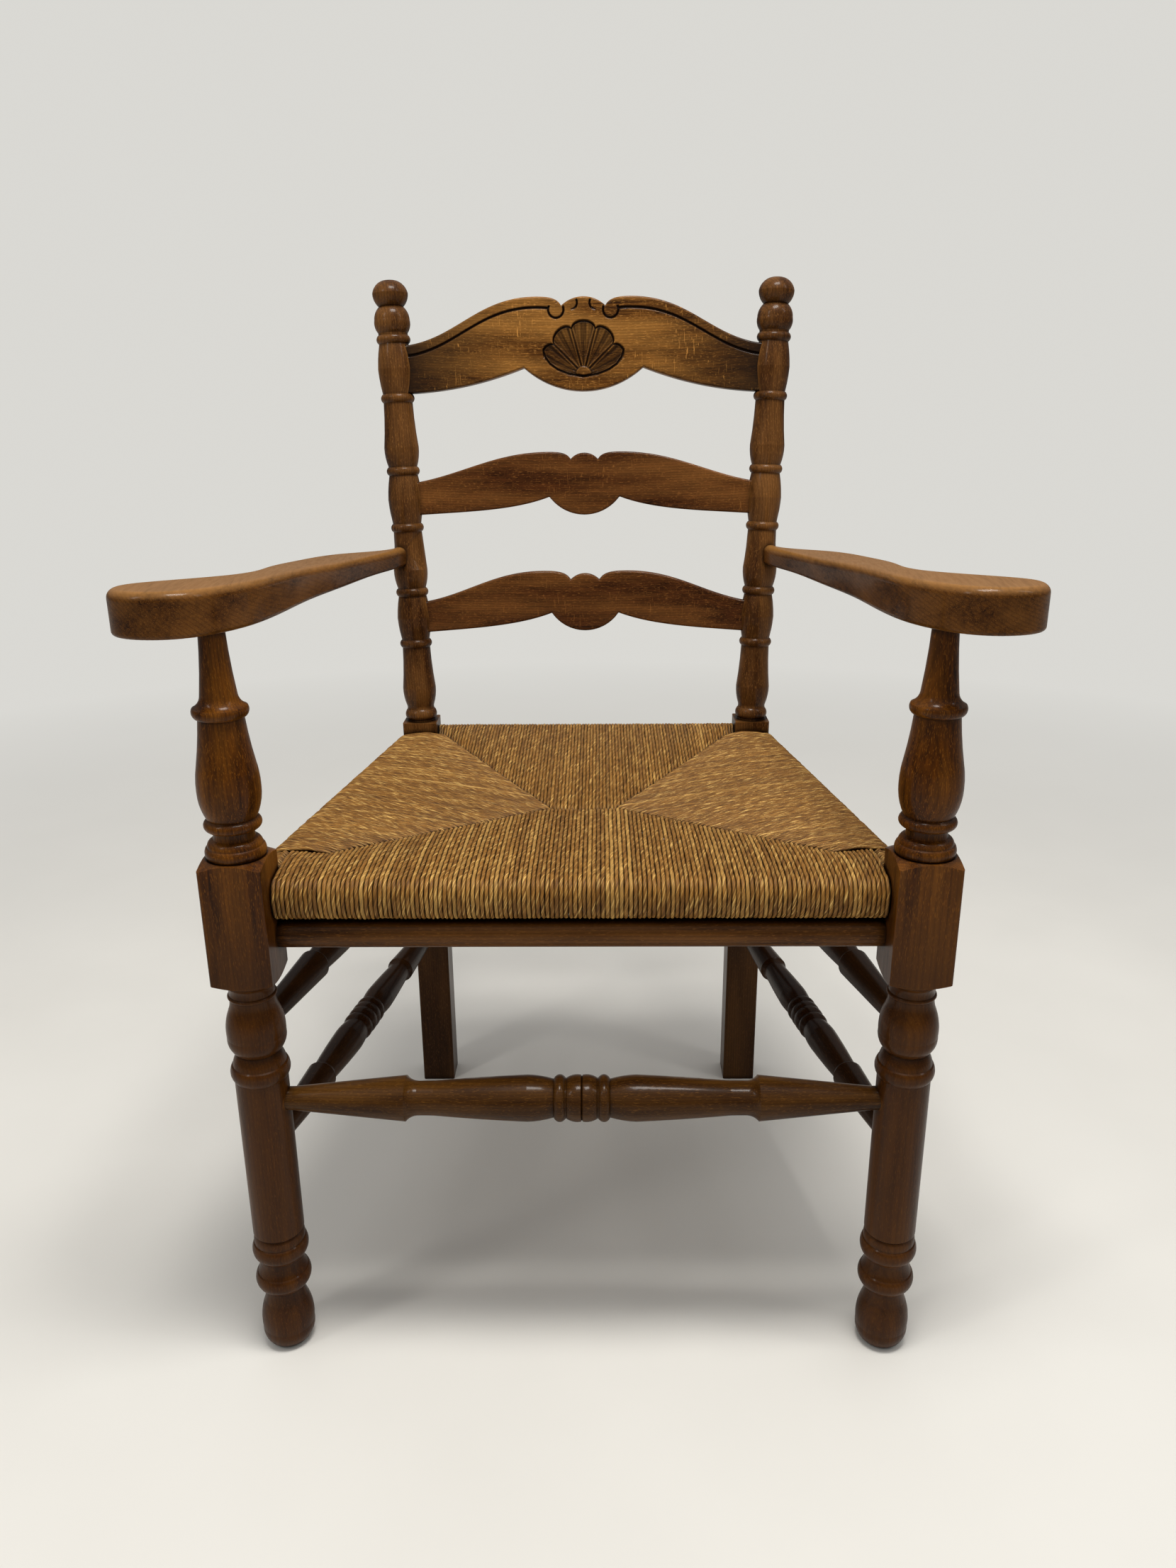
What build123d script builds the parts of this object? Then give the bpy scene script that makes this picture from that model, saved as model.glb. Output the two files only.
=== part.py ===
from build123d import *
import os
from math import radians, tan

# Carver chair of turned and sawn beech with a wound rush seat, in millimetres.
# +X is to the right for someone who looks at the front of the chair, +Y runs back, +Z is up.
# The front leg axes stand on Y = 0 while the pieces are made. At the end everything is moved,
# so that the origin lies on the floor under the middle of the chair.
# Pieces of the right side are made first, and the left ones are their mirror images.

# Plan of the frame
FRONT_LEG_SPREAD = 540.0      # between the front leg axes
BACK_LEG_SPREAD = 377.0       # between the back leg axes below the seat
SEAT_DEPTH = 434.0            # from the front leg axes to the back leg axes
SEAT_RAIL_HEIGHT = 438.0      # axes of the four bars inside the rush
GLUE_LINE = 0.1               # room on each side of a tenon in its mortise

# Front legs: turned foot, shank, bulb, square block, baluster and stump
SHANK_RADIUS = 22.0
BLOCK_SIZE = 50.0
BLOCK_RISE = 36.0             # seat rail axis up to the top of the block
BLOCK_DROP = 35.0             # apron rail axis down to the foot of the block
BLOCK_EASE = 2.5              # rounding of the block's upright edges
BLOCK_CORE_RADIUS = 24.0      # turned shoulders start here
BLOCK_CORNER_CUT = 5.0        # the turned shoulders lower the block's corners by this
SHOULDER_RISE = 1.5           # the upper shoulder stands this much above the block
STUMP_RADIUS = 9.8            # thin end of the stump, the tenon in the arm
STUMP_TENON = 21.0            # depth of the stump in the arm

# Turned outlines, from the bottom up: height, radius, and bulge of the arc that leads there
# Heights of the foot count from the floor, of the bulb from the foot of the block,
# of the baluster from the top of the block.
FOOT_TURNING = [
    (0.0, 15.5, 0.0), (18.0, 22.8, 2.6), (46.0, 18.9, 1.8), (60.5, 16.8, -0.6),
    (62.0, 20.6, 0.0), (77.0, 22.6, 2.6), (78.0, 21.6, 0.0), (92.0, 18.7, -1.0),
    (93.5, 20.9, 0.0), (108.5, 22.9, 2.4), (109.5, 21.9, 0.0), (119.0, 20.5, 0.8),
]
BULB_TURNING = [
    (-91.0, 23.0, 0.0), (-79.5, 23.2, 1.5), (-78.5, 22.0, 0.0), (-70.0, 19.2, 0.5),
    (-67.5, 17.8, 0.0), (-51.5, 24.0, 2.2), (-28.0, 20.6, 1.4), (-16.5, 18.5, -0.7),
    (-16.0, 19.3, 0.0), (-13.2, 19.3, 0.7), (-12.6, 18.6, 0.0), (-1.0, 24.0, -2.0),
]
BALUSTER_TURNING = [
    (1.5, 22.4, 0.0), (10.0, 22.6, 1.2), (10.8, 21.4, 0.0), (16.5, 17.6, 1.1),
    (17.2, 16.4, 0.0), (23.5, 16.2, -0.4), (24.4, 19.6, 0.0), (33.0, 19.8, 2.6),
    (33.6, 19.1, 0.0), (56.5, 24.3, 1.4), (76.5, 22.4, 0.6), (113.5, 17.3, -0.5),
    (114.5, 19.4, 0.0), (122.0, 20.6, 1.3), (131.0, 14.0, -1.5),
]
SHANK_STEP = 1.5              # slope between the shank and the collars at its ends
STUMP_HOLLOW = -0.6           # the stump tapers with this slight hollow

# Back posts: square leg below the seat, raked and splayed turning above it
POST_SIZE = 38.0
POST_EASE = 2.0               # rounding of the square leg's upright edges
PLINTH_RISE = 28.0            # seat rail axis up to the top of the square part
POST_RAKE = 4.0               # degrees, backwards
POST_SPLAY = 1.75             # degrees, outwards
POST_ROOT = 6.0               # the turning starts this deep in the square part
POST_NECK_RADIUS = 15.4
POST_RING_RADIUS = 17.8
POST_RING_WIDTH = 9.0
POST_SWELL_RADIUS = 18.5      # widest part of the vases, barrels and balls
COLLAR_HEIGHT = 13.0
COLLAR_HOLLOW = -0.4          # neck above the collar
VASE_SWELL_RISE = 20.0        # widest part of a vase above its foot
POST_MEMBERS = [              # from the collar up, each ends in the middle of a ring
    ("vase", 75.0), ("barrel", 57.0), ("vase", 70.0),
    ("barrel", 60.0), ("vase", 75.0), ("barrel", 59.0),
]
BALL_HEIGHT = 26.0            # each of the two balls of the finial
BALL_NECK_RADIUS = 12.8
BALL_TIP_RADIUS = 1.5         # small flat on the top
BALL_BULGE = 1.5
BALL_TIP_BULGE = 4.2
FINIAL_NECK = 2.0             # between the last ring and the lower ball

# Back slats, measured in the plane of the raked posts, heights above the top of the square part
# Each has its lobe's lowest point, and the heights above that point of its other edge points.
SLAT_BOW = 14.0               # the slats bend back by this in the middle
SLAT_TENON = 12.0             # a slat enters the post by this
SLAT_SHOULDER = 0.18          # slope of the upper edge where it leaves the post
CREST = dict(base=357.0, thickness=16.0, end_low=-2.5, end_high=46.0, hump=(49.0, 94.5),
             cusp=(23.4, 85.6), crown=94.6, lobe=(63.8, 23.7))
MIDDLE = dict(base=227.3, thickness=12.0, end_low=1.0, end_high=36.0, hump=(39.0, 67.0),
              cusp=(15.0, 59.3), crown=66.0, lobe=(38.6, 19.3))
LOWER = dict(base=99.6, thickness=12.0, end_low=0.7, end_high=34.7, hump=(47.7, 66.4),
             cusp=(16.2, 56.7), crown=63.6, lobe=(37.6, 20.0))
SHELL_HUB_HEIGHT = 21.0       # centre of the carved shell above the crest's lowest point
SHELL_LOBES = 5
SHELL_FAN = 150.0             # degrees from the first lobe to the last
SHELL_REACH = 46.0            # hub centre to the tip of a lobe
SHELL_START = 9.0             # hub centre to the root of a lobe
SHELL_LOBE_WIDTH = 21.0
SHELL_DEPTH = 2.5

# Arms: the stump's axis and the arm's end at the post are joined by a straight line,
# edge points lie at a share of it and are moved outwards by so many millimetres,
# and the paddle's points are measured from the stump's axis.
ARM_UNDERSIDE = 655.0         # in front
ARM_THICKNESS = 34.0          # in front
ARM_FALL = 13.0               # the underside comes down by this towards the post
ARM_END_THICKNESS = 19.0
ARM_END_OFFSET = 8.0          # middle of the arm's end, outwards from the post's axis
ARM_INNER_EDGE = [(0.84, -3.0), (0.6, -5.0), (0.35, -12.0)]
ARM_PADDLE = [
    (-34.0, 95.0), (-31.0, 45.0), (-19.0, -5.0), (16.0, -42.0), (58.0, -32.0),
    (68.0, 3.0), (46.0, 36.0),
]
ARM_OUTER_EDGE = [(0.19, 25.0), (0.42, 39.0), (0.67, 56.0), (0.87, 45.0)]
ARM_END_WIDTH = 15.0
ARM_TOP_ROUND = 7.0
ARM_UNDER_ROUND = 3.0
ARM_TENON_WIDTH = 9.0
ARM_TENON_HEIGHT = 12.0
ARM_TENON_END = 5.0           # the tenon stops this far before the post's axis

# Rails inside the rush, and the bar under it
RAIL_RADIUS = 9.0
RAIL_TENON_RADIUS = 5.5
RAIL_TENON = 9.0
FRONT_RAIL_SETBACK = 8.0      # behind the front leg axes
SIDE_RAIL_INSET = 13.0        # side rail at the block, inwards from the leg's axis
SIDE_RAIL_OUTSET = 10.0       # side rail at the back leg, outwards from its axis
APRON_RADIUS = 12.5
APRON_TENON_RADIUS = 8.0
APRON_TENON = 14.0
APRON_DROP = 35.0             # below the seat rail axes
APRON_SETBACK = 11.0

# Stretchers
FRONT_STRETCHER_HEIGHT = 252.5
LOWER_STRETCHER_HEIGHT = 205.0
UPPER_STRETCHER_DROP = 48.4   # below the foot of the block, in the middle of the bulb
BACK_STRETCHER_HEIGHT = 262.0
STRETCHER_END_RADIUS = 10.0
SOCKET_DEPTH = 11.5           # the stretcher's end enters the leg by this
SOCKET_LAND = 4.0             # straight part of the end outside the leg
FRONT_TURNING = [             # front stretcher, from its middle outwards to the flare
    (0.0, 18.2, 0.0), (1.0, 19.4, 0.0), (12.3, 17.4, 1.0), (13.2, 16.7, 0.0), (14.2, 17.2, 0.0),
    (23.2, 17.2, 2.4), (24.0, 16.0, 0.0), (46.0, 19.4, 0.7), (125.0, 14.4, 0.45),
    (139.0, 14.3, 0.0), (149.0, 19.2, -1.2),
]
SIDE_TURNING = [              # side stretchers, from the middle of the beads outwards to the flare
    (0.0, 14.3, 0.0), (10.0, 14.2, 0.9), (11.2, 13.5, 0.0), (12.4, 13.8, 0.0),
    (21.5, 13.6, 1.3), (23.0, 12.9, 0.0), (43.0, 14.9, 0.5), (102.5, 11.5, 0.4),
    (108.0, 14.5, -0.6),
]
LOWER_BEADS_SHIFT = 5.0       # middle of the beads, before the middle of the bar
UPPER_BEADS_SHIFT = -1.0
BACK_STRETCHER_RADIUS = 12.5  # in the middle

# Rush seat
RUSH_COVER = 7.5              # rush over the rails
RUSH_CLEARANCE = 0.3
RUSH_ROLL = 14.0              # rounding of the wound edges
RUSH_BLOCK_GAP = 4.0          # front roll to the block
RUSH_LEG_GAP = 3.0            # rush to the faces behind the block and before the plinth
DISH_RADIUS = 165.0           # rim of the hollow in the seat
DISH_DEPTH = 15.0
DISH_SETBACK = 205.0          # middle of the hollow behind the front leg axes
SEAM_APEX = (32.0, 195.0)     # where two seams meet, right side
SEAM_FRONT = (205.0, 50.0)
SEAM_BACK = (150.0, 398.0)
STUFFING_INSET = 12.0         # stuffing to the seams
STUFFING_FLOOR = 5.0          # rush below the stuffing
STUFFING_THICKNESS = 6.0
STUFFING_SLIT_LENGTH = 60.0   # slits in the underside, through which the stuffing is packed
STUFFING_SLIT_WIDTH = 4.0

# Places that follow from these sizes
FRONT_X = FRONT_LEG_SPREAD / 2
BACK_X = BACK_LEG_SPREAD / 2
APRON_HEIGHT = SEAT_RAIL_HEIGHT - APRON_DROP
BLOCK_BOTTOM = APRON_HEIGHT - BLOCK_DROP
BLOCK_TOP = SEAT_RAIL_HEIGHT + BLOCK_RISE
PLINTH_TOP = SEAT_RAIL_HEIGHT + PLINTH_RISE
UPPER_STRETCHER_HEIGHT = BLOCK_BOTTOM - UPPER_STRETCHER_DROP
ROLL_REACH = RAIL_RADIUS + RUSH_COVER
BLOCK_HALF = BLOCK_SIZE / 2
POST_HALF = POST_SIZE / 2
FAR = 1000.0                  # longer than any cut needs


def turned(stations):
    """Solid of revolution about Z through stations of height, radius and arc bulge."""
    edges = []
    for (low, inner, _), (high, outer, bulge) in zip(stations, stations[1:]):
        if bulge:
            edges.append(SagittaArc((inner, low), (outer, high), -bulge))
        else:
            edges.append(Line((inner, low), (outer, high)))
    bottom, first_radius, _ = stations[0]
    top, last_radius, _ = stations[-1]
    edges.append(Polyline((last_radius, top), (0, top), (0, bottom), (first_radius, bottom)))
    return revolve(Plane.XZ * make_face(edges), Axis.Z, 360)


def raised(stations, height):
    """Stations moved up by a height."""
    return [(level + height, radius, bulge) for level, radius, bulge in stations]


def both_ways(half):
    """Stations of a piece that is the same on both sides of its middle."""
    outward = [(-level, radius) for level, radius, _ in reversed(half)]
    bulges = [0.0] + [bulge for _, _, bulge in reversed(half[1:])]
    return [(level, radius, bulge) for (level, radius), bulge in zip(outward, bulges)] + half[1:]


def along(start, end):
    """Plane at start whose Z axis points to end."""
    return Plane(origin=start, z_dir=Vector(end) - Vector(start))


def rod(start, end, radius):
    """Round rod between two points."""
    length = (Vector(end) - Vector(start)).length
    return along(start, end) * Cylinder(radius, length, align=(Align.CENTER, Align.CENTER, Align.MIN))


def toward(start, end, distance):
    """Point at a distance from start on the way to end."""
    return Vector(start) + (Vector(end) - Vector(start)).normalized() * distance


def span(low, high):
    """Box between two corners."""
    size = Vector(high) - Vector(low)
    return Pos(*((Vector(low) + Vector(high)) * 0.5)) * Box(size.X, size.Y, size.Z)


def mirrored(point):
    """The same point on the other side of the chair."""
    return (-point[0],) + tuple(point[1:])


# Back post: a plane that stands on the square leg and follows the raked axis

def post_plane():
    """Plane at the top of the right square leg whose Z axis is the turned post's axis."""
    direction = (tan(radians(POST_SPLAY)), tan(radians(POST_RAKE)), 1.0)
    return Plane(origin=(BACK_X, SEAT_DEPTH, PLINTH_TOP), x_dir=(1, 0, 0), z_dir=direction)


def post_axis_at(height):
    """Point of the right turned post's axis at a height above the floor."""
    rise = height - PLINTH_TOP
    return (BACK_X + rise * tan(radians(POST_SPLAY)), SEAT_DEPTH + rise * tan(radians(POST_RAKE)), height)


def post_turning(grow=0.0):
    """Turned upper part of the right back post, thicker by grow all round."""
    half_ring = POST_RING_WIDTH / 2
    ring_bulge = POST_RING_RADIUS - POST_NECK_RADIUS
    level = COLLAR_HEIGHT
    stations = [(-POST_ROOT, POST_NECK_RADIUS, 0.0), (1.0, POST_NECK_RADIUS, 0.0)]
    stations.append((COLLAR_HEIGHT, POST_NECK_RADIUS, ring_bulge))
    stations.append((COLLAR_HEIGHT + half_ring, POST_NECK_RADIUS, COLLAR_HOLLOW))
    for shape, length in POST_MEMBERS:
        foot = level + half_ring
        ring = level + length
        if shape == "vase":
            stations.append((foot + VASE_SWELL_RISE, POST_SWELL_RADIUS, 0.9))
            stations.append((ring - half_ring, POST_NECK_RADIUS, -0.6))
        else:
            stations.append((level + length / 2, POST_SWELL_RADIUS, 0.5))
            stations.append((ring - half_ring, POST_NECK_RADIUS, 0.5))
        stations.append((ring + half_ring, POST_NECK_RADIUS, ring_bulge))
        level = ring
    ball = level + half_ring + FINIAL_NECK
    stations.append((ball, POST_NECK_RADIUS, 0.0))
    for radius, bulge in ((BALL_NECK_RADIUS, BALL_BULGE), (BALL_TIP_RADIUS, BALL_TIP_BULGE)):
        stations.append((ball + BALL_HEIGHT / 2, POST_SWELL_RADIUS, BALL_BULGE))
        ball += BALL_HEIGHT
        stations.append((ball, radius, bulge))
    if grow:
        stations = [(level, radius + grow, bulge) for level, radius, bulge in stations]
    return post_plane() * turned(stations)


def square_leg():
    """Square lower part of the right back post."""
    corner = (BACK_X - POST_HALF, SEAT_DEPTH - POST_HALF, 0)
    leg = span(corner, (BACK_X + POST_HALF, SEAT_DEPTH + POST_HALF, PLINTH_TOP))
    return fillet(leg.edges().filter_by(Axis.Z), POST_EASE)


def front_leg_body():
    """Right front leg with its square block, before the mortises are cut."""
    shank_low = FOOT_TURNING[-1][0] + SHANK_STEP
    shank_high = BLOCK_BOTTOM + BULB_TURNING[0][0] - SHANK_STEP
    stations = FOOT_TURNING + [(shank_low, SHANK_RADIUS, 0.0), (shank_high, SHANK_RADIUS, 0.0)]
    stations += raised(BULB_TURNING, BLOCK_BOTTOM)
    stations += [(BLOCK_BOTTOM, BLOCK_CORE_RADIUS, 0.0), (BLOCK_TOP, BLOCK_CORE_RADIUS, 0.0)]
    stations += raised(BALUSTER_TURNING, BLOCK_TOP)
    stations.append((ARM_UNDERSIDE, STUMP_RADIUS, STUMP_HOLLOW))
    stations.append((ARM_UNDERSIDE + STUMP_TENON, STUMP_RADIUS, 0.0))
    corner = Vector(BLOCK_HALF, BLOCK_HALF, 0)
    cube = span(Vector(0, 0, BLOCK_BOTTOM) - corner, Vector(0, 0, BLOCK_TOP + SHOULDER_RISE) + corner)
    cube = fillet(cube.edges().filter_by(Axis.Z), BLOCK_EASE)
    shoulders = turned([
        (BLOCK_BOTTOM, BLOCK_CORE_RADIUS, 0.0),
        (BLOCK_BOTTOM + BLOCK_CORNER_CUT, BLOCK_SIZE * 0.75, 0.0),
        (BLOCK_TOP - BLOCK_CORNER_CUT, BLOCK_SIZE * 0.75, 0.0),
        (BLOCK_TOP + SHOULDER_RISE, BLOCK_CORE_RADIUS, 0.0),
    ])
    return Pos(FRONT_X, 0, 0) * (turned(stations) + (cube & shoulders))


# Bars between the legs, from axis to axis

def stretcher(start, end, start_inset, end_inset, turning, shift=0.0):
    """Turned stretcher with beads, barrels and flares, its ends cut at the insets."""
    length = (Vector(end) - Vector(start)).length
    middle = toward(start, end, (length + start_inset - end_inset) / 2)
    reach = (length - start_inset - end_inset) / 2
    cone_foot = reach - SOCKET_DEPTH - SOCKET_LAND
    stations = [(-reach, STRETCHER_END_RADIUS, 0.0), (-cone_foot, STRETCHER_END_RADIUS, 0.0)]
    stations += raised(both_ways(turning), -shift)
    stations += [(cone_foot, STRETCHER_END_RADIUS, 0.0), (reach, STRETCHER_END_RADIUS, 0.0)]
    return along(middle, end) * turned(stations)


def socket(start, end, inset):
    """Cut for a stretcher's end in the leg whose axis passes through start."""
    tip = toward(start, end, inset - GLUE_LINE)
    return rod(tip, toward(start, end, FAR / 2), STRETCHER_END_RADIUS + GLUE_LINE)


def shouldered_bar(start, end, radius, tenon_radius, tenon, low, high):
    """Round bar with tenons, its shoulders cut flush by a box between two corners."""
    body = rod(toward(start, end, -FAR / 10), toward(end, start, -FAR / 10), radius) & span(low, high)
    return body + rod(toward(start, end, -tenon), toward(end, start, -tenon), tenon_radius)


def mortise(start, end, tenon_radius, tenon):
    """Cut for the tenon of a bar that starts at start, a little past its end."""
    return rod(toward(start, end, -tenon - GLUE_LINE), end, tenon_radius + GLUE_LINE)


# Slats

def slat_axis_u(height):
    """Distance of the post's axis from the middle of the chair, at a height in the slats' plane."""
    return BACK_X + height * tan(radians(POST_SPLAY))


def slat(shape, grow=0.0):
    """Bowed slat from its outline, larger by grow all round for the cut in the post."""
    base = shape["base"]
    end_low = base + shape["end_low"] - grow
    end_high = base + shape["end_high"] + grow
    end = slat_axis_u(base) - POST_NECK_RADIUS + SLAT_TENON + grow
    hump = Vector(shape["hump"][0], base + shape["hump"][1])
    cusp = Vector(shape["cusp"][0], base + shape["cusp"][1])
    lobe = Vector(shape["lobe"][0], base + shape["lobe"][1])
    inner = slat_axis_u(base) - POST_NECK_RADIUS
    right = [
        Line((end, end_low), (end, end_high)),
        Line((end, end_high), (inner, end_high)),
        Spline((inner, end_high), hump, tangents=[(-1, SLAT_SHOULDER), (-1, 0)]),
        Spline(hump, cusp, tangents=[(-1, 0), (-0.5, -1)]),
        Spline(lobe, (inner, end_low), tangents=[(1, -0.38), (1, -0.06)]),
        Line((inner, end_low), (end, end_low)),
    ]
    crown = ThreePointArc((cusp.X, cusp.Y), (0, base + shape["crown"]), (-cusp.X, cusp.Y))
    below = ThreePointArc((lobe.X, lobe.Y), (0, base), (-lobe.X, lobe.Y))
    outline = make_face(right + [mirror(edge, Plane.YZ) for edge in right] + [crown, below])
    bend = (inner ** 2 + SLAT_BOW ** 2) / (2 * SLAT_BOW)
    half = shape["thickness"] / 2 + grow
    upright = Rot(90, 0, 0)
    sheet = upright * (Cylinder(bend + half, FAR * 2) - Cylinder(bend - half, FAR * 2))
    board = extrude(outline, FAR / 10, both=True) & (Pos(0, 0, bend - SLAT_BOW) * sheet)
    if shape is CREST:
        board -= shell(base, half)
    return slat_plane() * board


def slat_plane():
    """Plane of the raked posts: X across the chair, Y up the rake, Z to the front."""
    rake = radians(POST_RAKE)
    return Plane(origin=(0, SEAT_DEPTH, PLINTH_TOP), x_dir=(1, 0, 0), z_dir=(0, -1, tan(rake)))


def shell(base, half):
    """Scooped lobes of the carved shell, each a long thin ellipsoid sunk in the slat's face."""
    face = half - SLAT_BOW
    length = (SHELL_REACH - SHELL_START) / 2
    scoop = scale(Sphere(1.0), by=(length, SHELL_LOBE_WIDTH / 2, SHELL_DEPTH))
    scoop = Pos(SHELL_START + length, 0, face) * scoop
    first = 90.0 - SHELL_FAN / 2
    step = SHELL_FAN / (SHELL_LOBES - 1)
    hub = Pos(0, base + SHELL_HUB_HEIGHT, 0)
    return [hub * Rot(0, 0, first + step * lobe) * scoop for lobe in range(SHELL_LOBES)]


# Arms

def arm_end():
    """Middle of the right arm's end, on the front surface of the post."""
    height = ARM_UNDERSIDE - ARM_FALL + ARM_END_THICKNESS / 2
    axis = post_axis_at(height)
    return Vector(axis[0] + ARM_END_OFFSET, axis[1] - POST_SWELL_RADIUS, height)


def arm_plan():
    """Outline of the right arm seen from above, run on into the post."""
    end = arm_end()
    rear = end.Y + POST_SWELL_RADIUS - ARM_TENON_END
    inner = (end.X - ARM_END_WIDTH / 2, rear)
    outer = (end.X + ARM_END_WIDTH / 2, rear)

    def edge_point(share, out):
        return (FRONT_X + share * (end.X - FRONT_X) + out, share * end.Y)

    points = [edge_point(*pair) for pair in ARM_INNER_EDGE]
    points += [(FRONT_X + out, back) for out, back in ARM_PADDLE]
    points += [edge_point(*pair) for pair in ARM_OUTER_EDGE]
    edge = Spline([inner] + points + [outer], tangents=[(0, -1), (0, 1)])
    return make_face([edge, Line(outer, inner)])


def arm_side():
    """Outline of the arm seen from the side, Y and Z."""
    front = min(back for _, back in ARM_PADDLE) - ARM_THICKNESS
    rear = arm_end().Y + POST_SWELL_RADIUS
    end_low = ARM_UNDERSIDE - ARM_FALL
    top = ARM_UNDERSIDE + ARM_THICKNESS
    level = [(1, 0), (1, 0)]
    upper = Spline((front, top), (rear, end_low + ARM_END_THICKNESS), tangents=level)
    lower = Spline((front, ARM_UNDERSIDE), (rear, end_low), tangents=level)
    return make_face([upper, Line(upper @ 1, lower @ 1), lower, Line(lower @ 0, upper @ 0)])


def arm_tenon(grow=0.0):
    """Tenon of the right arm in the post, larger by grow for the mortise."""
    end = arm_end()
    axis = post_axis_at(end.Z)
    across = ARM_TENON_WIDTH / 2 + grow
    tall = ARM_TENON_HEIGHT / 2 + grow
    middle = axis[0] + POST_NECK_RADIUS / 2 - GLUE_LINE
    low = (middle - across, end.Y - ARM_TENON_WIDTH, end.Z - tall)
    return span(low, (middle + across, axis[1] - ARM_TENON_END + grow, end.Z + tall))


def arm():
    """Right arm: sawn to its plan and its side outline, rounded, coped to the post."""
    tall = ARM_UNDERSIDE + ARM_THICKNESS * 2
    side = Plane.YZ * arm_side()
    body = extrude(arm_plan(), tall) & extrude(side, FAR)
    body = fillet(rim_edges(body)[-1], ARM_TOP_ROUND)
    body = fillet(rim_edges(body)[0], ARM_UNDER_ROUND)
    body = body - post_turning(GLUE_LINE) + arm_tenon()
    stump = (FRONT_X, 0, ARM_UNDERSIDE - ARM_THICKNESS)
    return body - rod(stump, (FRONT_X, 0, ARM_UNDERSIDE + STUMP_TENON + GLUE_LINE), STUMP_RADIUS + GLUE_LINE)


def rim_edges(body):
    """The two long edges round the arm, lower one first."""
    return body.edges().filter_by(lambda edge: edge.length > SEAT_DEPTH).sort_by(Axis.Z)


# Rush

def side_rail_ends():
    """Axis points of the right seat rail on the block's and the post's faces."""
    front = (FRONT_X - SIDE_RAIL_INSET, BLOCK_HALF, SEAT_RAIL_HEIGHT)
    back = (BACK_X + SIDE_RAIL_OUTSET, SEAT_DEPTH - POST_HALF, SEAT_RAIL_HEIGHT)
    return front, back


def rush_plan():
    """Outline of the wound seat seen from above, notched round the blocks and the back legs."""
    front, back = side_rail_ends()

    def side_edge(level):
        share = (level - front[1]) / (back[1] - front[1])
        return front[0] + share * (back[0] - front[0]) + ROLL_REACH

    block = FRONT_X - BLOCK_HALF - RUSH_BLOCK_GAP
    plinth = BACK_X - POST_HALF - RUSH_LEG_GAP
    low = front[1] + RUSH_LEG_GAP
    high = back[1] - RUSH_LEG_GAP
    right = [
        (block, FRONT_RAIL_SETBACK - ROLL_REACH), (block, low), (side_edge(low), low),
        (side_edge(high), high), (plinth, high), (plinth, SEAT_DEPTH + ROLL_REACH),
    ]
    return make_face(Polyline(right + [mirrored(point) for point in reversed(right)], close=True))


def stuffing_pads(grow=0.0):
    """The four pads between the layers of rush by place, larger by grow for their pockets."""
    corners = {
        "front": [SEAM_FRONT, SEAM_APEX, mirrored(SEAM_APEX), mirrored(SEAM_FRONT)],
        "back": [SEAM_BACK, SEAM_APEX, mirrored(SEAM_APEX), mirrored(SEAM_BACK)],
        "right": [SEAM_FRONT, SEAM_BACK, SEAM_APEX],
        "left": [mirrored(SEAM_FRONT), mirrored(SEAM_BACK), mirrored(SEAM_APEX)],
    }
    floor = SEAT_RAIL_HEIGHT - ROLL_REACH + STUFFING_FLOOR - grow
    pads = {}
    for place, points in corners.items():
        face = offset(make_face(Polyline(points, close=True)), grow - STUFFING_INSET)
        pads[place] = Pos(0, 0, floor) * extrude(face, STUFFING_THICKNESS + 2 * grow)
    return pads


def rush(rails):
    """Wound seat with rounded edges, a hollow top, tunnels for the rails and pockets for the pads."""
    floor = SEAT_RAIL_HEIGHT - ROLL_REACH
    body = Pos(0, 0, floor) * extrude(rush_plan(), 2 * ROLL_REACH)
    rolls = body.edges().filter_by(lambda edge: edge.length > BLOCK_SIZE * 2)
    body = fillet(rolls, RUSH_ROLL)
    bowl = (DISH_RADIUS ** 2 + DISH_DEPTH ** 2) / (2 * DISH_DEPTH)
    body -= Pos(0, DISH_SETBACK, floor + 2 * ROLL_REACH - DISH_DEPTH + bowl) * Sphere(bowl)
    for start, end in rails:
        inlet = toward(start, end, -BLOCK_SIZE)
        outlet = toward(end, start, -BLOCK_SIZE)
        body -= rod(inlet, outlet, RAIL_RADIUS + RUSH_CLEARANCE)
    for pocket in stuffing_pads(RUSH_CLEARANCE).values():
        middle = pocket.center()
        slit = Box(STUFFING_SLIT_LENGTH, STUFFING_SLIT_WIDTH, middle.Z - floor)
        body -= pocket + Pos(middle.X, middle.Y, (floor + middle.Z) / 2) * slit
    return body


def front_axis(level):
    """Point at a height on the axis of the right front leg."""
    return FRONT_X, 0, level


def back_axis(level):
    """Point at a height on the axis of the right back leg."""
    return BACK_X, SEAT_DEPTH, level


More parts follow.
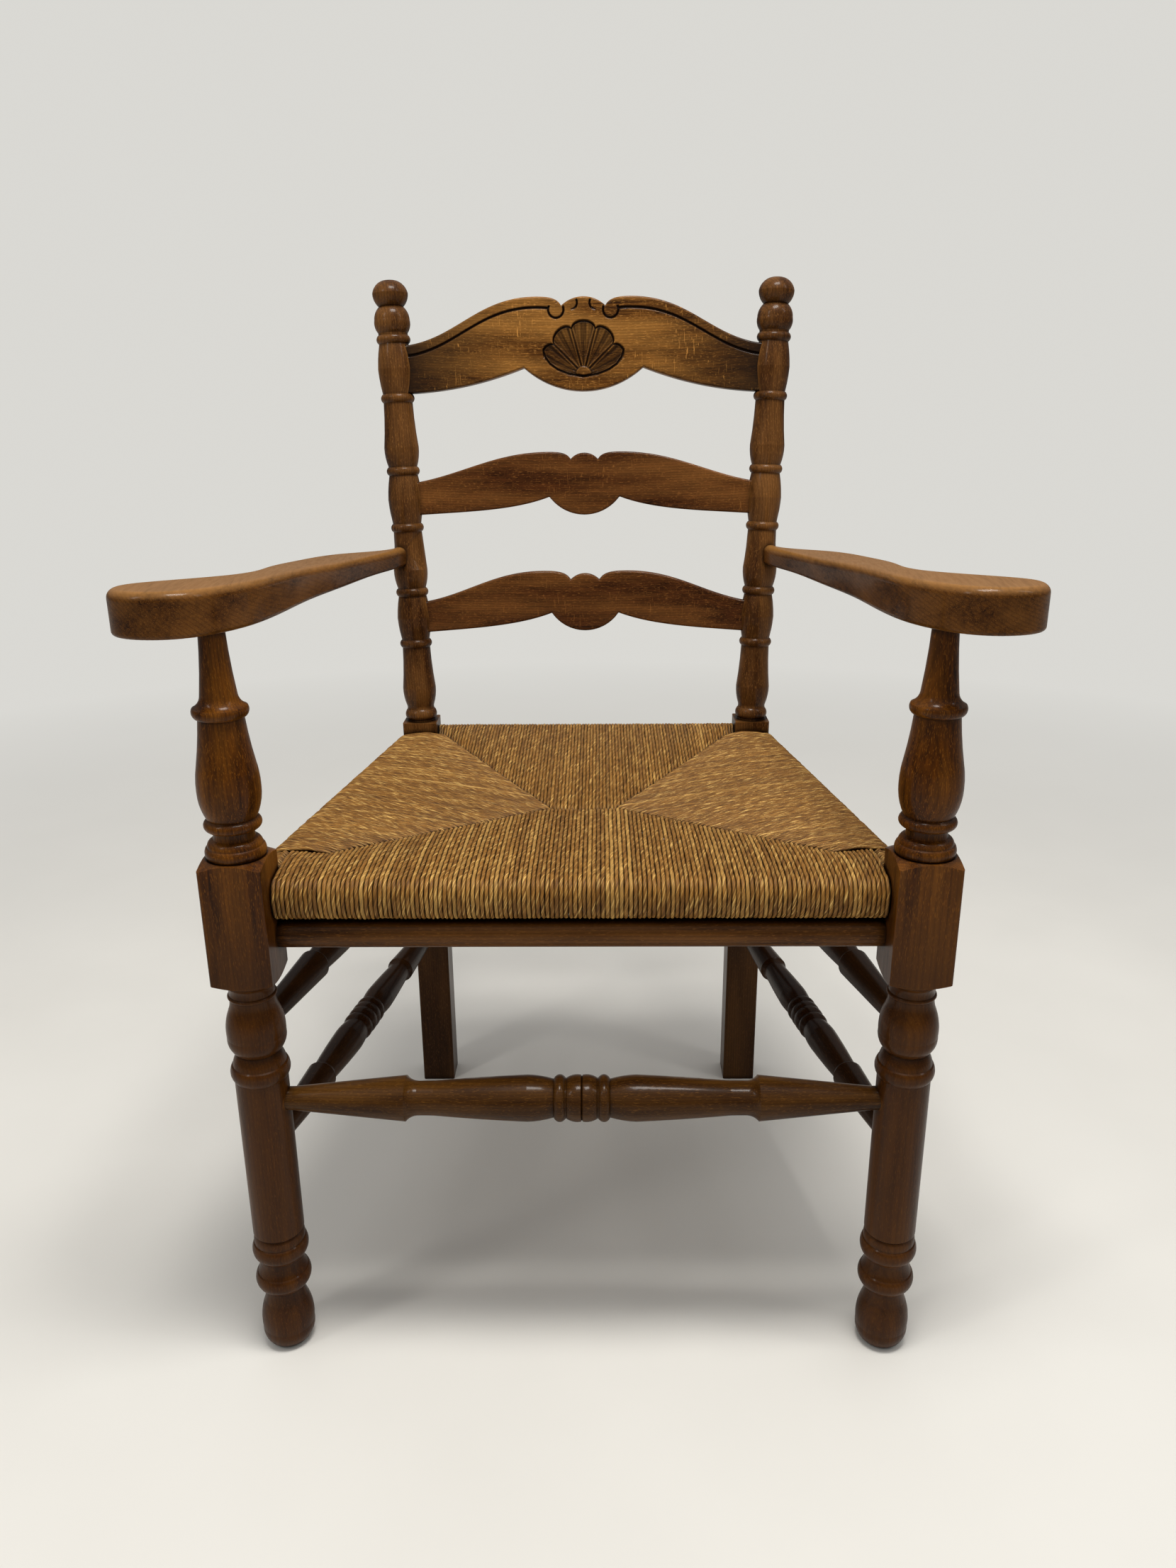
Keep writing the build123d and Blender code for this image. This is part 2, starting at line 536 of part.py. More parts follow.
def build():
    """All pieces by name."""
    front_inset = SHANK_RADIUS - SOCKET_DEPTH
    back_inset = POST_HALF - SOCKET_DEPTH

    # Lines of the bars
    side_lines = {
        "upper": (front_axis(UPPER_STRETCHER_HEIGHT), back_axis(UPPER_STRETCHER_HEIGHT)),
        "lower": (front_axis(LOWER_STRETCHER_HEIGHT), back_axis(LOWER_STRETCHER_HEIGHT)),
    }
    beads_shift = {"upper": UPPER_BEADS_SHIFT, "lower": LOWER_BEADS_SHIFT}
    front_bar = front_axis(FRONT_STRETCHER_HEIGHT)
    back_bar = back_axis(BACK_STRETCHER_HEIGHT)
    block_face = FRONT_X - BLOCK_HALF
    post_face = BACK_X - POST_HALF
    front_rail = (block_face, FRONT_RAIL_SETBACK, SEAT_RAIL_HEIGHT)
    back_rail = (post_face, SEAT_DEPTH, SEAT_RAIL_HEIGHT)
    apron = (block_face, APRON_SETBACK, APRON_HEIGHT)
    side_front, side_back = side_rail_ends()

    # Front leg with its mortises
    front_leg = front_leg_body()
    for start, end in side_lines.values():
        front_leg -= socket(start, end, front_inset)
    front_leg -= socket(front_bar, mirrored(front_bar), front_inset)
    front_leg -= mortise(front_rail, mirrored(front_rail), RAIL_TENON_RADIUS, RAIL_TENON)
    front_leg -= mortise(apron, mirrored(apron), APRON_TENON_RADIUS, APRON_TENON)
    front_leg -= mortise(side_front, side_back, RAIL_TENON_RADIUS, RAIL_TENON)

    # Back post with its mortises
    back_post = square_leg() + post_turning()
    for start, end in side_lines.values():
        back_post -= socket(end, start, back_inset)
    back_post -= socket(back_bar, mirrored(back_bar), back_inset)
    back_post -= mortise(back_rail, mirrored(back_rail), RAIL_TENON_RADIUS, RAIL_TENON)
    back_post -= mortise(side_back, side_front, RAIL_TENON_RADIUS, RAIL_TENON)
    back_post -= arm_tenon(GLUE_LINE)
    for shape in (CREST, MIDDLE, LOWER):
        back_post -= slat(shape, GLUE_LINE)

    right = {"front_leg": front_leg, "back_post": back_post, "arm": arm()}
    for place, (start, end) in side_lines.items():
        piece = stretcher(
            start, end, front_inset, back_inset, SIDE_TURNING, beads_shift[place])
        right[f"{place}_stretcher"] = piece
    low = (0, BLOCK_HALF, 0)
    high = (FAR, SEAT_DEPTH - POST_HALF, FAR)
    right["seat_rail"] = shouldered_bar(
        side_front, side_back, RAIL_RADIUS, RAIL_TENON_RADIUS, RAIL_TENON, low, high)

    def cross_bar(start, radius, tenon_radius, tenon):
        low = (-start[0], start[1] - radius * 2, start[2] - radius * 2)
        high = (start[0], start[1] + radius * 2, start[2] + radius * 2)
        return shouldered_bar(start, mirrored(start), radius, tenon_radius, tenon, low, high)

    back_reach = BACK_X - back_inset
    back_bar_half = [
        (0.0, BACK_STRETCHER_RADIUS, 0.0),
        (back_reach - SOCKET_DEPTH, STRETCHER_END_RADIUS, 0.0),
        (back_reach, STRETCHER_END_RADIUS, 0.0),
    ]
    seat_lines = [
        (front_rail, mirrored(front_rail)), (back_rail, mirrored(back_rail)),
        (side_front, side_back), (mirrored(side_front), mirrored(side_back)),
    ]
    nodes = {
        "crest_rail": slat(CREST),
        "middle_slat": slat(MIDDLE),
        "lower_slat": slat(LOWER),
        "front_seat_rail": cross_bar(front_rail, RAIL_RADIUS, RAIL_TENON_RADIUS, RAIL_TENON),
        "back_seat_rail": cross_bar(back_rail, RAIL_RADIUS, RAIL_TENON_RADIUS, RAIL_TENON),
        "front_apron_rail": cross_bar(apron, APRON_RADIUS, APRON_TENON_RADIUS, APRON_TENON),
        "front_stretcher": stretcher(
            front_bar, mirrored(front_bar), front_inset, front_inset, FRONT_TURNING),
        "back_stretcher": Pos(0, SEAT_DEPTH, BACK_STRETCHER_HEIGHT) * Rot(0, 90, 0)
        * turned(both_ways(back_bar_half)),
        "rush_seat": rush(seat_lines),
    }
    for place, pad in stuffing_pads().items():
        nodes[f"{place}_stuffing_pad"] = pad
    for name, piece in right.items():
        left_name, right_name = side_names(name)
        nodes[right_name] = piece
        nodes[left_name] = mirror(piece, Plane.YZ)
    return nodes


def side_names(name):
    """Names of a piece on the left and on the right."""
    if name in ("front_leg", "back_post", "arm"):
        return f"{name}_left", f"{name}_right"
    return f"left_{name}", f"right_{name}"


pieces = build()
boxes = [piece.bounding_box() for piece in pieces.values()]
front_edge = min(box.min.Y for box in boxes)
back_edge = max(box.max.Y for box in boxes)
to_origin = Pos(0, -(front_edge + back_edge) / 2, 0)
os.makedirs("parts", exist_ok=True)
for name, piece in pieces.items():
    export_step(to_origin * piece, f"parts/{name}.step")
    size = piece.bounding_box().size
    print(f"{name:24s} {size.X:7.1f} {size.Y:7.1f} {size.Z:7.1f}")
width = max(box.max.X for box in boxes) - min(box.min.X for box in boxes)
height = max(box.max.Z for box in boxes)
print(f"overall {width:.1f} x {back_edge - front_edge:.1f} x {height:.1f} mm")
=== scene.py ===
# %% [markdown]
# # A carver chair in stained beech with a rush seat
# The chair's frame was drawn as solids first: legs, posts, arms, rails and stretchers, each a
# piece with its own tenons. Here those solids are loaded as a fixed frame and get their looks.
# The pieces whose surface is the real work are made anew on top of the solids: the three back
# slats with their softened edges and carving, and the seat with every cord of its rush.

# %% Load the frame
import math

import bpy
import numpy as np
from mathutils import Matrix, Vector, noise


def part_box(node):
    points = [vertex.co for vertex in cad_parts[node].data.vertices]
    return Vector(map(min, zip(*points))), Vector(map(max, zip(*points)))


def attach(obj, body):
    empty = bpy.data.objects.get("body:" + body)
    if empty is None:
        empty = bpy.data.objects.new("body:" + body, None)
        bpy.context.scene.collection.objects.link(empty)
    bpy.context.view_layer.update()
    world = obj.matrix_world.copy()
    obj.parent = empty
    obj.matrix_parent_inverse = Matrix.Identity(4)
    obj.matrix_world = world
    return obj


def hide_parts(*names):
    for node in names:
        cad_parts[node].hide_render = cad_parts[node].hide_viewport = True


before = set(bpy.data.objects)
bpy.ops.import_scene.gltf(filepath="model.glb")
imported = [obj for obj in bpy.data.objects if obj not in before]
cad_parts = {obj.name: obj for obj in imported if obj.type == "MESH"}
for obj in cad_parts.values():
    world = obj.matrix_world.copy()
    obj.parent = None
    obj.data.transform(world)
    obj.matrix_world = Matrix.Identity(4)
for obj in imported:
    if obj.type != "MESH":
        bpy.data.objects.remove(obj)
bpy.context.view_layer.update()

# %% [markdown]
# ## The camera
# The camera stands close in front of the chair and looks down at it, so the legs draw together
# towards the floor. Its place and its tilt were found from the corners of the blocks and the tops
# of the posts. A camera can be aimed with angles, but here its three axes are written out, because
# a slight lean of the picture is then only one turn more.

# %% Camera
CAMERA_PLACE = Vector((0.01709, -1.05246, 0.81419))
LOOK_DOWN = math.radians(18.685)
LOOK_ASIDE = math.radians(-0.6895)
LEAN = math.radians(0.4221)
LENS_MM = 26.2026
SENSOR_MM = 36.0

ahead = Vector((math.sin(LOOK_ASIDE) * math.cos(LOOK_DOWN),
                math.cos(LOOK_ASIDE) * math.cos(LOOK_DOWN),
                -math.sin(LOOK_DOWN)))
level = Vector((math.cos(LOOK_ASIDE), -math.sin(LOOK_ASIDE), 0))
down = ahead.cross(level)
picture_right = math.cos(LEAN) * level + math.sin(LEAN) * down
picture_down = math.cos(LEAN) * down - math.sin(LEAN) * level

lens = bpy.data.cameras.new("camera")
lens.sensor_fit = "VERTICAL"
lens.sensor_height = SENSOR_MM
lens.lens = LENS_MM
lens.clip_start = 0.01
camera = bpy.data.objects.new("camera", lens)
bpy.context.scene.collection.objects.link(camera)
axes = Matrix((picture_right, -picture_down, -ahead)).transposed().to_4x4()
camera.matrix_world = Matrix.Translation(CAMERA_PLACE) @ axes
bpy.context.scene.camera = camera
print("camera at", tuple(round(x, 3) for x in CAMERA_PLACE))

# %% [markdown]
# ## Helpers for finishes
# A finish is a small network of nodes. It can be drawn by hand in the shader editor. Written out in
# full, each node takes four lines, so a few short helpers add a node, mix two colours, stretch a
# value from one range to another, multiply two values and start a new finish. They keep the recipes
# below readable: each line is then one thing that happens to the wood.

# %% Helpers for finishes
def add_node(tree, kind, settings=None, **sockets):
    """Adds a node; a socket is given a value, or another node's output to be linked to."""
    node = tree.nodes.new(kind)
    for key, value in (settings or {}).items():
        setattr(node, key, value)
    for key, value in sockets.items():
        socket = node.inputs[key.replace("_", " ")]
        if isinstance(value, bpy.types.NodeSocket):
            tree.links.new(value, socket)
        else:
            socket.default_value = value
    return node


def mix_colours(tree, share, first, second):
    """The first colour where share is 0, and the second where it is 1."""
    mix = tree.nodes.new("ShaderNodeMix")
    mix.data_type = "RGBA"
    for socket, value in ((mix.inputs[0], share), (mix.inputs[6], first), (mix.inputs[7], second)):
        if isinstance(value, bpy.types.NodeSocket):
            tree.links.new(value, socket)
        elif socket == mix.inputs[0]:
            socket.default_value = value
        else:
            socket.default_value = (*value, 1)
    return mix.outputs[2]


def stretch(tree, value, low, high, to_low=0.0, to_high=1.0):
    """Takes the range low..high of a value to to_low..to_high, and stops at both ends."""
    span = add_node(tree, "ShaderNodeMapRange", Value=value)
    for number, limit in enumerate((low, high, to_low, to_high), start=1):
        span.inputs[number].default_value = limit
    return span.outputs[0]


def times(tree, first, second):
    """Two values multiplied."""
    product = tree.nodes.new("ShaderNodeMath")
    product.operation = "MULTIPLY"
    for socket, value in zip(product.inputs, (first, second)):
        if isinstance(value, bpy.types.NodeSocket):
            tree.links.new(value, socket)
        else:
            socket.default_value = value
    return product.outputs[0]


def new_finish(name):
    """A finish to fill in: the material, its tree of nodes and its main shader."""
    finish = bpy.data.materials.new(name)
    finish.use_nodes = True
    return finish, finish.node_tree, finish.node_tree.nodes["Principled BSDF"]


print("helpers ready")

# %% [markdown]
# ## The floor
# The chair stands on a plain pale floor. A flat sheet is all that a floor needs, but a sheet has an
# edge, and its far part would draw a hard horizon behind the slats. So the floor is large, and far
# from the chair it fades, for the camera alone, into the pale tone of the surroundings.

# %% Floor
FLOOR_HALF = 14.0
FLOOR_TINTS = ((0.76, 0.75, 0.715), (0.80, 0.79, 0.755))
PALE = (0.70, 0.69, 0.655)
FADE_FROM, FADE_TO = 0.9, 2.6

corners = [(-FLOOR_HALF, -FLOOR_HALF, 0), (FLOOR_HALF, -FLOOR_HALF, 0),
           (FLOOR_HALF, FLOOR_HALF, 0), (-FLOOR_HALF, FLOOR_HALF, 0)]
floor_mesh = bpy.data.meshes.new("floor")
floor_mesh.from_pydata(corners, [], [(0, 1, 2, 3)])
floor = bpy.data.objects.new("floor", floor_mesh)
bpy.context.scene.collection.objects.link(floor)

finish, tree, shader = new_finish("pale_floor")
place = add_node(tree, "ShaderNodeTexCoord").outputs["Object"]
cloud = add_node(tree, "ShaderNodeTexNoise", Vector=place, Scale=3.0, Detail=4.0)
tint = mix_colours(tree, stretch(tree, cloud.outputs["Fac"], 0.3, 0.7), *FLOOR_TINTS)
tree.links.new(tint, shader.inputs["Base Color"])
shader.inputs["Roughness"].default_value = 0.7
away = add_node(tree, "ShaderNodeVectorMath", {"operation": "LENGTH"}, Vector=place).outputs["Value"]
seen = add_node(tree, "ShaderNodeLightPath").outputs["Is Camera Ray"]
haze = add_node(tree, "ShaderNodeEmission", Color=(*PALE, 1), Strength=1.0)
fade = tree.nodes.new("ShaderNodeMixShader")
tree.links.new(times(tree, seen, stretch(tree, away, FADE_FROM, FADE_TO)), fade.inputs[0])
tree.links.new(shader.outputs[0], fade.inputs[1])
tree.links.new(haze.outputs[0], fade.inputs[2])
tree.links.new(fade.outputs[0], tree.nodes["Material Output"].inputs["Surface"])
floor_mesh.materials.append(finish)
print("floor laid, fading from", FADE_FROM, "to", FADE_TO, "m")

# %% [markdown]
# ## The sky
# Light that comes from all sides fills the shadows between the stretchers. An even sky would do
# that too, but polished wood mirrors it as a grey haze. So this sky is dim at the horizon, where
# upright faces mirror it, and bright overhead. The camera sees the pale tone instead.

# %% Sky
SKY_LOW, SKY_HIGH = 0.12, 0.62
SKY_TINT = (1.0, 0.985, 0.96)

world = bpy.data.worlds.new("soft_sky")
world.use_nodes = True
bpy.context.scene.world = world
tree = world.node_tree
fill = tree.nodes["Background"]
fill.inputs["Color"].default_value = (*SKY_TINT, 1)
way = add_node(tree, "ShaderNodeTexCoord").outputs["Generated"]
height = add_node(tree, "ShaderNodeSeparateXYZ", Vector=way).outputs["Z"]
tree.links.new(stretch(tree, height, 0.0, 0.9, SKY_LOW, SKY_HIGH), fill.inputs["Strength"])
seen = add_node(tree, "ShaderNodeBackground", Color=(*PALE, 1), Strength=1.0)
path = add_node(tree, "ShaderNodeLightPath")
choose = tree.nodes.new("ShaderNodeMixShader")
tree.links.new(path.outputs["Is Camera Ray"], choose.inputs[0])
tree.links.new(fill.outputs[0], choose.inputs[1])
tree.links.new(seen.outputs[0], choose.inputs[2])
tree.links.new(choose.outputs[0], tree.nodes["World Output"].inputs["Surface"])
print("sky from", SKY_LOW, "at the horizon to", SKY_HIGH, "overhead")

# %% [markdown]
# ## The lamps
# One large panel of light hangs above and in front of the chair, and a narrow one stands on each
# side and draws the soft highlights along the turnings. Point lamps would be simpler, but they give
# hard shadows. Together with the sky the panels add up to about the light at which a colour shows
# as it is written.

# %% Lamps
LAMP_TINT = (1.0, 0.97, 0.92)


def light_panel(name, place, aim, width, height, watts):
    """A soft panel of light at a place, turned to face a point."""
    lamp = bpy.data.lights.new(name, "AREA")
    lamp.shape = "RECTANGLE"
    lamp.size = width
    lamp.size_y = height
    lamp.energy = watts
    lamp.color = LAMP_TINT
    panel = bpy.data.objects.new(name, lamp)
    bpy.context.scene.collection.objects.link(panel)
    panel.location = place
    panel.rotation_euler = (Vector(aim) - Vector(place)).to_track_quat("-Z", "Y").to_euler()


light_panel("panel_above", (0.15, -0.45, 2.4), (0, 0, 0.4), 0.75, 0.5, 36)
light_panel("panel_left", (-1.5, -1.1, 2.0), (0, 0, 0.5), 0.25, 0.8, 6)
light_panel("panel_right", (1.5, -0.5, 2.0), (0, 0, 0.5), 0.25, 0.8, 4)

# %% [markdown]
# ## The grain of beech
# Beech has a quiet long grain, faint year rings and small flecks, two or three millimetres long,
# that tell it from other woods. An image of wood could be wrapped round the pieces, but it would
# stretch on the turnings. So the grain is grown in space instead, as noise that is drawn out along
# the run of the timber, and each piece looks as if it had been cut out of a block.

# %% Grain of beech
GRAIN_STRETCH = 18.0
FLECK_STRETCH = 7.0
RING_WIDTH = 0.0026
AXIS_NAMES = "XYZ"


def drawn_out(tree, place, run, turn, offset, length):
    """Coordinates that are drawn out along the run of the timber, an axis 0, 1 or 2."""
    scale = [1.0, 1.0, 1.0]
    scale[run] = length
    return add_node(tree, "ShaderNodeMapping", {"vector_type": "TEXTURE"}, Vector=place,
                    Location=offset, Rotation=(0, 0, turn), Scale=scale).outputs[0]


def noise_in(tree, place, **sockets):
    """Noise that is read at a place."""
    return add_node(tree, "ShaderNodeTexNoise", Vector=place, **sockets).outputs["Fac"]


def beech_figure(tree, place, run, turn, offset):
    """The patterns of the wood: long grain, flecks, year rings and clouds of wear."""
    along = drawn_out(tree, place, run, turn, offset, GRAIN_STRETCH)
    dashes = drawn_out(tree, place, run, turn, offset, FLECK_STRETCH)
    grain = noise_in(tree, along, Scale=330.0, Detail=5.0, Roughness=0.62, Distortion=0.4)
    flecks = stretch(tree, noise_in(tree, dashes, Scale=1500.0, Detail=1.0), 0.60, 0.68)
    rings = add_node(tree, "ShaderNodeTexWave",
                     {"wave_type": "RINGS", "rings_direction": AXIS_NAMES[run]}, Vector=along,
                     Scale=2 * math.pi / (20 * RING_WIDTH), Distortion=5.0, Detail=2.0,
                     Detail_Scale=0.35).outputs["Fac"]
    clouds = noise_in(tree, dashes, Scale=38.0, Detail=3.0)
    return grain, flecks, rings, clouds


print("grain ready, year rings about", RING_WIDTH * 1000, "mm apart")

# %% [markdown]
# ## Where the stain stays, and where shade is painted
# The stain is a dark brown. It lies thick in every groove, it has worn off the edges, and it has
# kept its depth where hands never come, at the ends of the crest. Grooves and joints also get
# painted shade, faces that look up are paler, partly from polish and partly as painted light from
# above, and low on the chair the wood is painted darker, as shade. All this could be painted on
# by hand. Here it is found: grooves and edges by looking for nearby surfaces, from outside for a
# groove and from inside for an edge, and the rest by its place on the chair and the way it faces.

# %% Where the stain stays, and painted shade and light
GROOVE_REACH = 0.007
EDGE_REACH = 0.0025


def axis_of(tree, vector, name):
    """One of the three coordinates of a vector."""
    return add_node(tree, "ShaderNodeSeparateXYZ", Vector=vector).outputs[name]


def darker_ends(tree, place, colour, ends):
    """Towards both ends of a slat the wood stays darkly stained: ends says from where, to where, how dark."""
    start, stop, shade = ends
    away = add_node(tree, "ShaderNodeMath", {"operation": "ABSOLUTE"}, Value=axis_of(tree, place, "X"))
    return mix_colours(tree, stretch(tree, away.outputs[0], start, stop, 0.0, 0.92), colour, shade)


def shade_painted_below(tree, place, colour, low):
    """Painted shade low on the chair, darker towards the floor: full below one height, none above another."""
    full, none, amount, shade = low
    share = stretch(tree, axis_of(tree, place, "Z"), full, none, amount, 0.0)
    return mix_colours(tree, share, colour, shade)


def hairlines(tree, place, colour, pale, offset, amount):
    """Fine pale scratches and rays that run across the board."""
    upright = drawn_out(tree, place, 2, 0.0, offset, 9.0)
    line = noise_in(tree, upright, Scale=620.0, Detail=2.0, Distortion=0.6)
    patch = noise_in(tree, place, Scale=26.0, Detail=1.0)
    shown = times(tree, stretch(tree, line, 0.63, 0.70, 0.0, amount), stretch(tree, patch, 0.42, 0.62))
    return mix_colours(tree, shown, colour, pale)


def polish_and_light_on_top(tree, grain, colour, top):
    """Faces that look up are paler: partly polish by arms and hands, partly painted light from above."""
    facing = axis_of(tree, add_node(tree, "ShaderNodeNewGeometry").outputs["Normal"], "Z")
    open_grain = stretch(tree, grain, 0.2, 0.6, 0.6, 1.0)
    polish_and_light = times(tree, stretch(tree, facing, 0.2, 0.95, 0.0, 0.85), open_grain)
    return mix_colours(tree, polish_and_light, colour, top)


def rubbed_edges(tree, clouds, colour, worn, amount):
    """On its edges the wood is paler, in patches."""
    inside = add_node(tree, "ShaderNodeAmbientOcclusion",
                      {"inside": True, "samples": 6, "only_local": True}, Distance=EDGE_REACH).outputs["AO"]
    patchy = stretch(tree, clouds, 0.3, 0.6, 0.4, 1.0)
    rubbed = times(tree, stretch(tree, inside, 0.25, 0.75, amount, 0.0), patchy)
    return mix_colours(tree, rubbed, colour, tuple(min(1.0, 1.25 * c) for c in worn))


def stain_and_shade_in_grooves(tree, colour, dark):
    """In grooves, and where pieces meet, the wood is nearly black: dark staining that lies there, and painted
    shade.
    """
    groove = add_node(tree, "ShaderNodeAmbientOcclusion", {"samples": 8}, Distance=GROOVE_REACH).outputs["AO"]
    shade = stretch(tree, groove, 0.45, 0.97, 0.95, 0.0)
    return mix_colours(tree, shade, colour, tuple(0.25 * c for c in dark))


print("stain looks", GROOVE_REACH * 1000, "mm far into grooves")

# %% [markdown]
# ## Stained beech
# Now the finish itself, layer on layer as on the chair: the grain between the dark stain and its
# own tone, clouds where the stain has worn, rings and flecks, then the places from the last step,
# painted shade and light among them.
# The coat is old wax, so it is thin and not very shiny. One recipe serves all the pieces, because
# they came from one workshop, and only the colours and a seed differ.

# %% Stained beech
def beech(name, run, dark, tone, worn, seed, turn=0.0, top=None, edge_wear=0.5,
          cut=None, ends=None, low=None, hairs=0.0):
    """A beech finish: dark, tone and worn are colours, run is the axis of the grain."""
    finish, tree, shader = new_finish(name)
    place = add_node(tree, "ShaderNodeTexCoord").outputs["Object"]
    offset = (0.37 * seed, 0.23 * seed, 0.61 * seed)
    grain, flecks, rings, clouds = beech_figure(tree, place, run, turn, offset)
    pale = tuple(min(1.0, 1.7 * c) for c in worn)
    colour = mix_colours(tree, stretch(tree, grain, 0.30, 0.70), dark, tone)
    colour = mix_colours(tree, stretch(tree, clouds, 0.40, 0.70, 0.0, 0.65), colour, worn)
    colour = mix_colours(tree, stretch(tree, rings, 0.55, 1.0, 0.0, 0.28), colour, dark)
    colour = mix_colours(tree, times(tree, flecks, 0.30), colour, pale)
    if ends is not None:
        colour = darker_ends(tree, place, colour, ends)
    # Painted shade: the wood is drawn darker towards the floor.
    if low is not None:
        colour = shade_painted_below(tree, place, colour, low)
    if hairs:
        colour = hairlines(tree, place, colour, pale, offset, hairs)
    # Paler faces that look up: polish, and painted light from above.
    if top is not None:
        colour = polish_and_light_on_top(tree, grain, colour, top)
    colour = rubbed_edges(tree, clouds, colour, worn, edge_wear)
    # Stain and painted shade in grooves and where pieces meet.
    colour = stain_and_shade_in_grooves(tree, colour, dark)
    # The carving's attribute darkens the cuts: stain left there, and painted shade.
    if cut is not None:
        stain_and_shade_in_cut = add_node(tree, "ShaderNodeAttribute", {"attribute_name": cut}).outputs["Fac"]
        colour = mix_colours(tree, stain_and_shade_in_cut, colour, tuple(0.3 * c for c in dark))
    tree.links.new(colour, shader.inputs["Base Color"])
    tree.links.new(stretch(tree, grain, 0.3, 0.7, 0.42, 0.30), shader.inputs["Roughness"])
    bump = add_node(tree, "ShaderNodeBump", Strength=0.22, Distance=0.0004, Height=grain)
    tree.links.new(bump.outputs[0], shader.inputs["Normal"])
    shader.inputs["Specular IOR Level"].default_value = 0.06
    shader.inputs["Coat Weight"].default_value = 0.14
    shader.inputs["Coat Roughness"].default_value = 0.12
    return finish


print("beech recipe ready")

# %% [markdown]
# ## Dressing the frame
# Every turned or sawn piece keeps its solid and gets its own beech, with the grain along its own
# length and its own seed, so that no two pieces show the same figure. The front legs and the arms
# are the warmest, the back posts are browner, the front stretcher is dark with golden flecks, and
# the side stretchers have hardly been touched since they were stained. A table of coats, one line
# for each piece, keeps all this in view.

# %% Dressing the frame
DARK_BROWN = (0.0150, 0.0042, 0.0008)
LEG_BROWN = (0.096, 0.0280, 0.0020)
LEG_WORN = (0.225, 0.0800, 0.0085)
POST_BROWN = (0.078, 0.0280, 0.0060)
POST_WORN = (0.220, 0.0950, 0.0250)
LOW_BROWN = (0.022, 0.0080, 0.0020)
LOW_WORN = (0.062, 0.0250, 0.0068)
STRETCHER_BROWN = (0.042, 0.0155, 0.0020)
STRETCHER_WORN = (0.120, 0.0500, 0.0085)
# Painted shade low on the legs and posts: the next lines give a darker colour towards the floor, which stands
# in for the shade there.
FOOT_SHADE = (0.032, 0.0105, 0.0021)
LEG_SHADE_BELOW = (0.38, 0.47, 0.65, FOOT_SHADE)  # full below, none above, how much of it, its colour
POST_SHADE_BELOW = (0.38, 0.47, 0.60, LOW_BROWN)
ARM_BROWN = (0.100, 0.0350, 0.0050)
ARM_WORN = (0.185, 0.0730, 0.0150)
HONEY = (0.270, 0.1280, 0.0360)
X_RUN, Y_RUN, Z_RUN = 0, 1, 2
SIDE_TURN = math.radians(10.7)  # the side rails run inwards to the back by this

coats = {
    "front_leg_left": dict(run=Z_RUN, tone=LEG_BROWN, worn=LEG_WORN, low=LEG_SHADE_BELOW),
    "front_leg_right": dict(run=Z_RUN, tone=LEG_BROWN, worn=LEG_WORN, low=LEG_SHADE_BELOW),
    "back_post_left": dict(run=Z_RUN, tone=POST_BROWN, worn=POST_WORN, low=POST_SHADE_BELOW),
    "back_post_right": dict(run=Z_RUN, tone=POST_BROWN, worn=POST_WORN, low=POST_SHADE_BELOW),
    "arm_left": dict(run=Y_RUN, tone=ARM_BROWN, worn=ARM_WORN, top=HONEY, turn=SIDE_TURN),
    "arm_right": dict(run=Y_RUN, tone=ARM_BROWN, worn=ARM_WORN, top=HONEY, turn=-SIDE_TURN),
    "front_apron_rail": dict(run=X_RUN, tone=ARM_BROWN, worn=ARM_WORN),
    "front_stretcher": dict(run=X_RUN, tone=STRETCHER_BROWN, worn=STRETCHER_WORN),
    "back_stretcher": dict(run=X_RUN, tone=LOW_BROWN, worn=LOW_WORN),
    "left_upper_stretcher": dict(run=Y_RUN, tone=LOW_BROWN, worn=LOW_WORN, turn=-SIDE_TURN),
    "left_lower_stretcher": dict(run=Y_RUN, tone=LOW_BROWN, worn=LOW_WORN, turn=-SIDE_TURN),
    "right_upper_stretcher": dict(run=Y_RUN, tone=LOW_BROWN, worn=LOW_WORN, turn=SIDE_TURN),
    "right_lower_stretcher": dict(run=Y_RUN, tone=LOW_BROWN, worn=LOW_WORN, turn=SIDE_TURN),
    "front_seat_rail": dict(run=X_RUN, tone=POST_WORN, worn=HONEY),
    "back_seat_rail": dict(run=X_RUN, tone=POST_WORN, worn=HONEY),
    "left_seat_rail": dict(run=Y_RUN, tone=POST_WORN, worn=HONEY, turn=-SIDE_TURN),
    "right_seat_rail": dict(run=Y_RUN, tone=POST_WORN, worn=HONEY, turn=SIDE_TURN),
}
for seed, (piece, coat) in enumerate(coats.items(), start=1):
    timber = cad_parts[piece]
    finish = beech(piece + "_beech", dark=DARK_BROWN, seed=seed, **coat)
    if not timber.material_slots:
        timber.data.materials.append(finish)
    for patch in timber.material_slots:
        patch.material = finish
print("pieces dressed:", len(coats))

# %% [markdown]
# ## Measuring the slats
# The three back slats are sawn to a scrolled outline and bent a little backwards. Their solids
# have the outline, but their edges are sharp, while real ones are eased by hand and by use. A bevel
# on the solid would break at the cusps of the outline, so each slat is measured instead: rays along
# its back find how it is bent, and rays from above and below find its two edges column by column.

# %% Measuring the slats
RAKE = math.radians(4.0)
SLAT_FOOT = Vector((0.0, 0.212151, 0.466))  # between the posts, where they begin to lean back
SLAT_UP = Vector((0.0, math.sin(RAKE), math.cos(RAKE)))
SLAT_FRONT = Vector((0.0, -math.cos(RAKE), math.sin(RAKE)))
BEHIND, ABOVE, BELOW = -0.15, 0.60, -0.20  # where the measuring rays start
END_MARGIN = 0.012


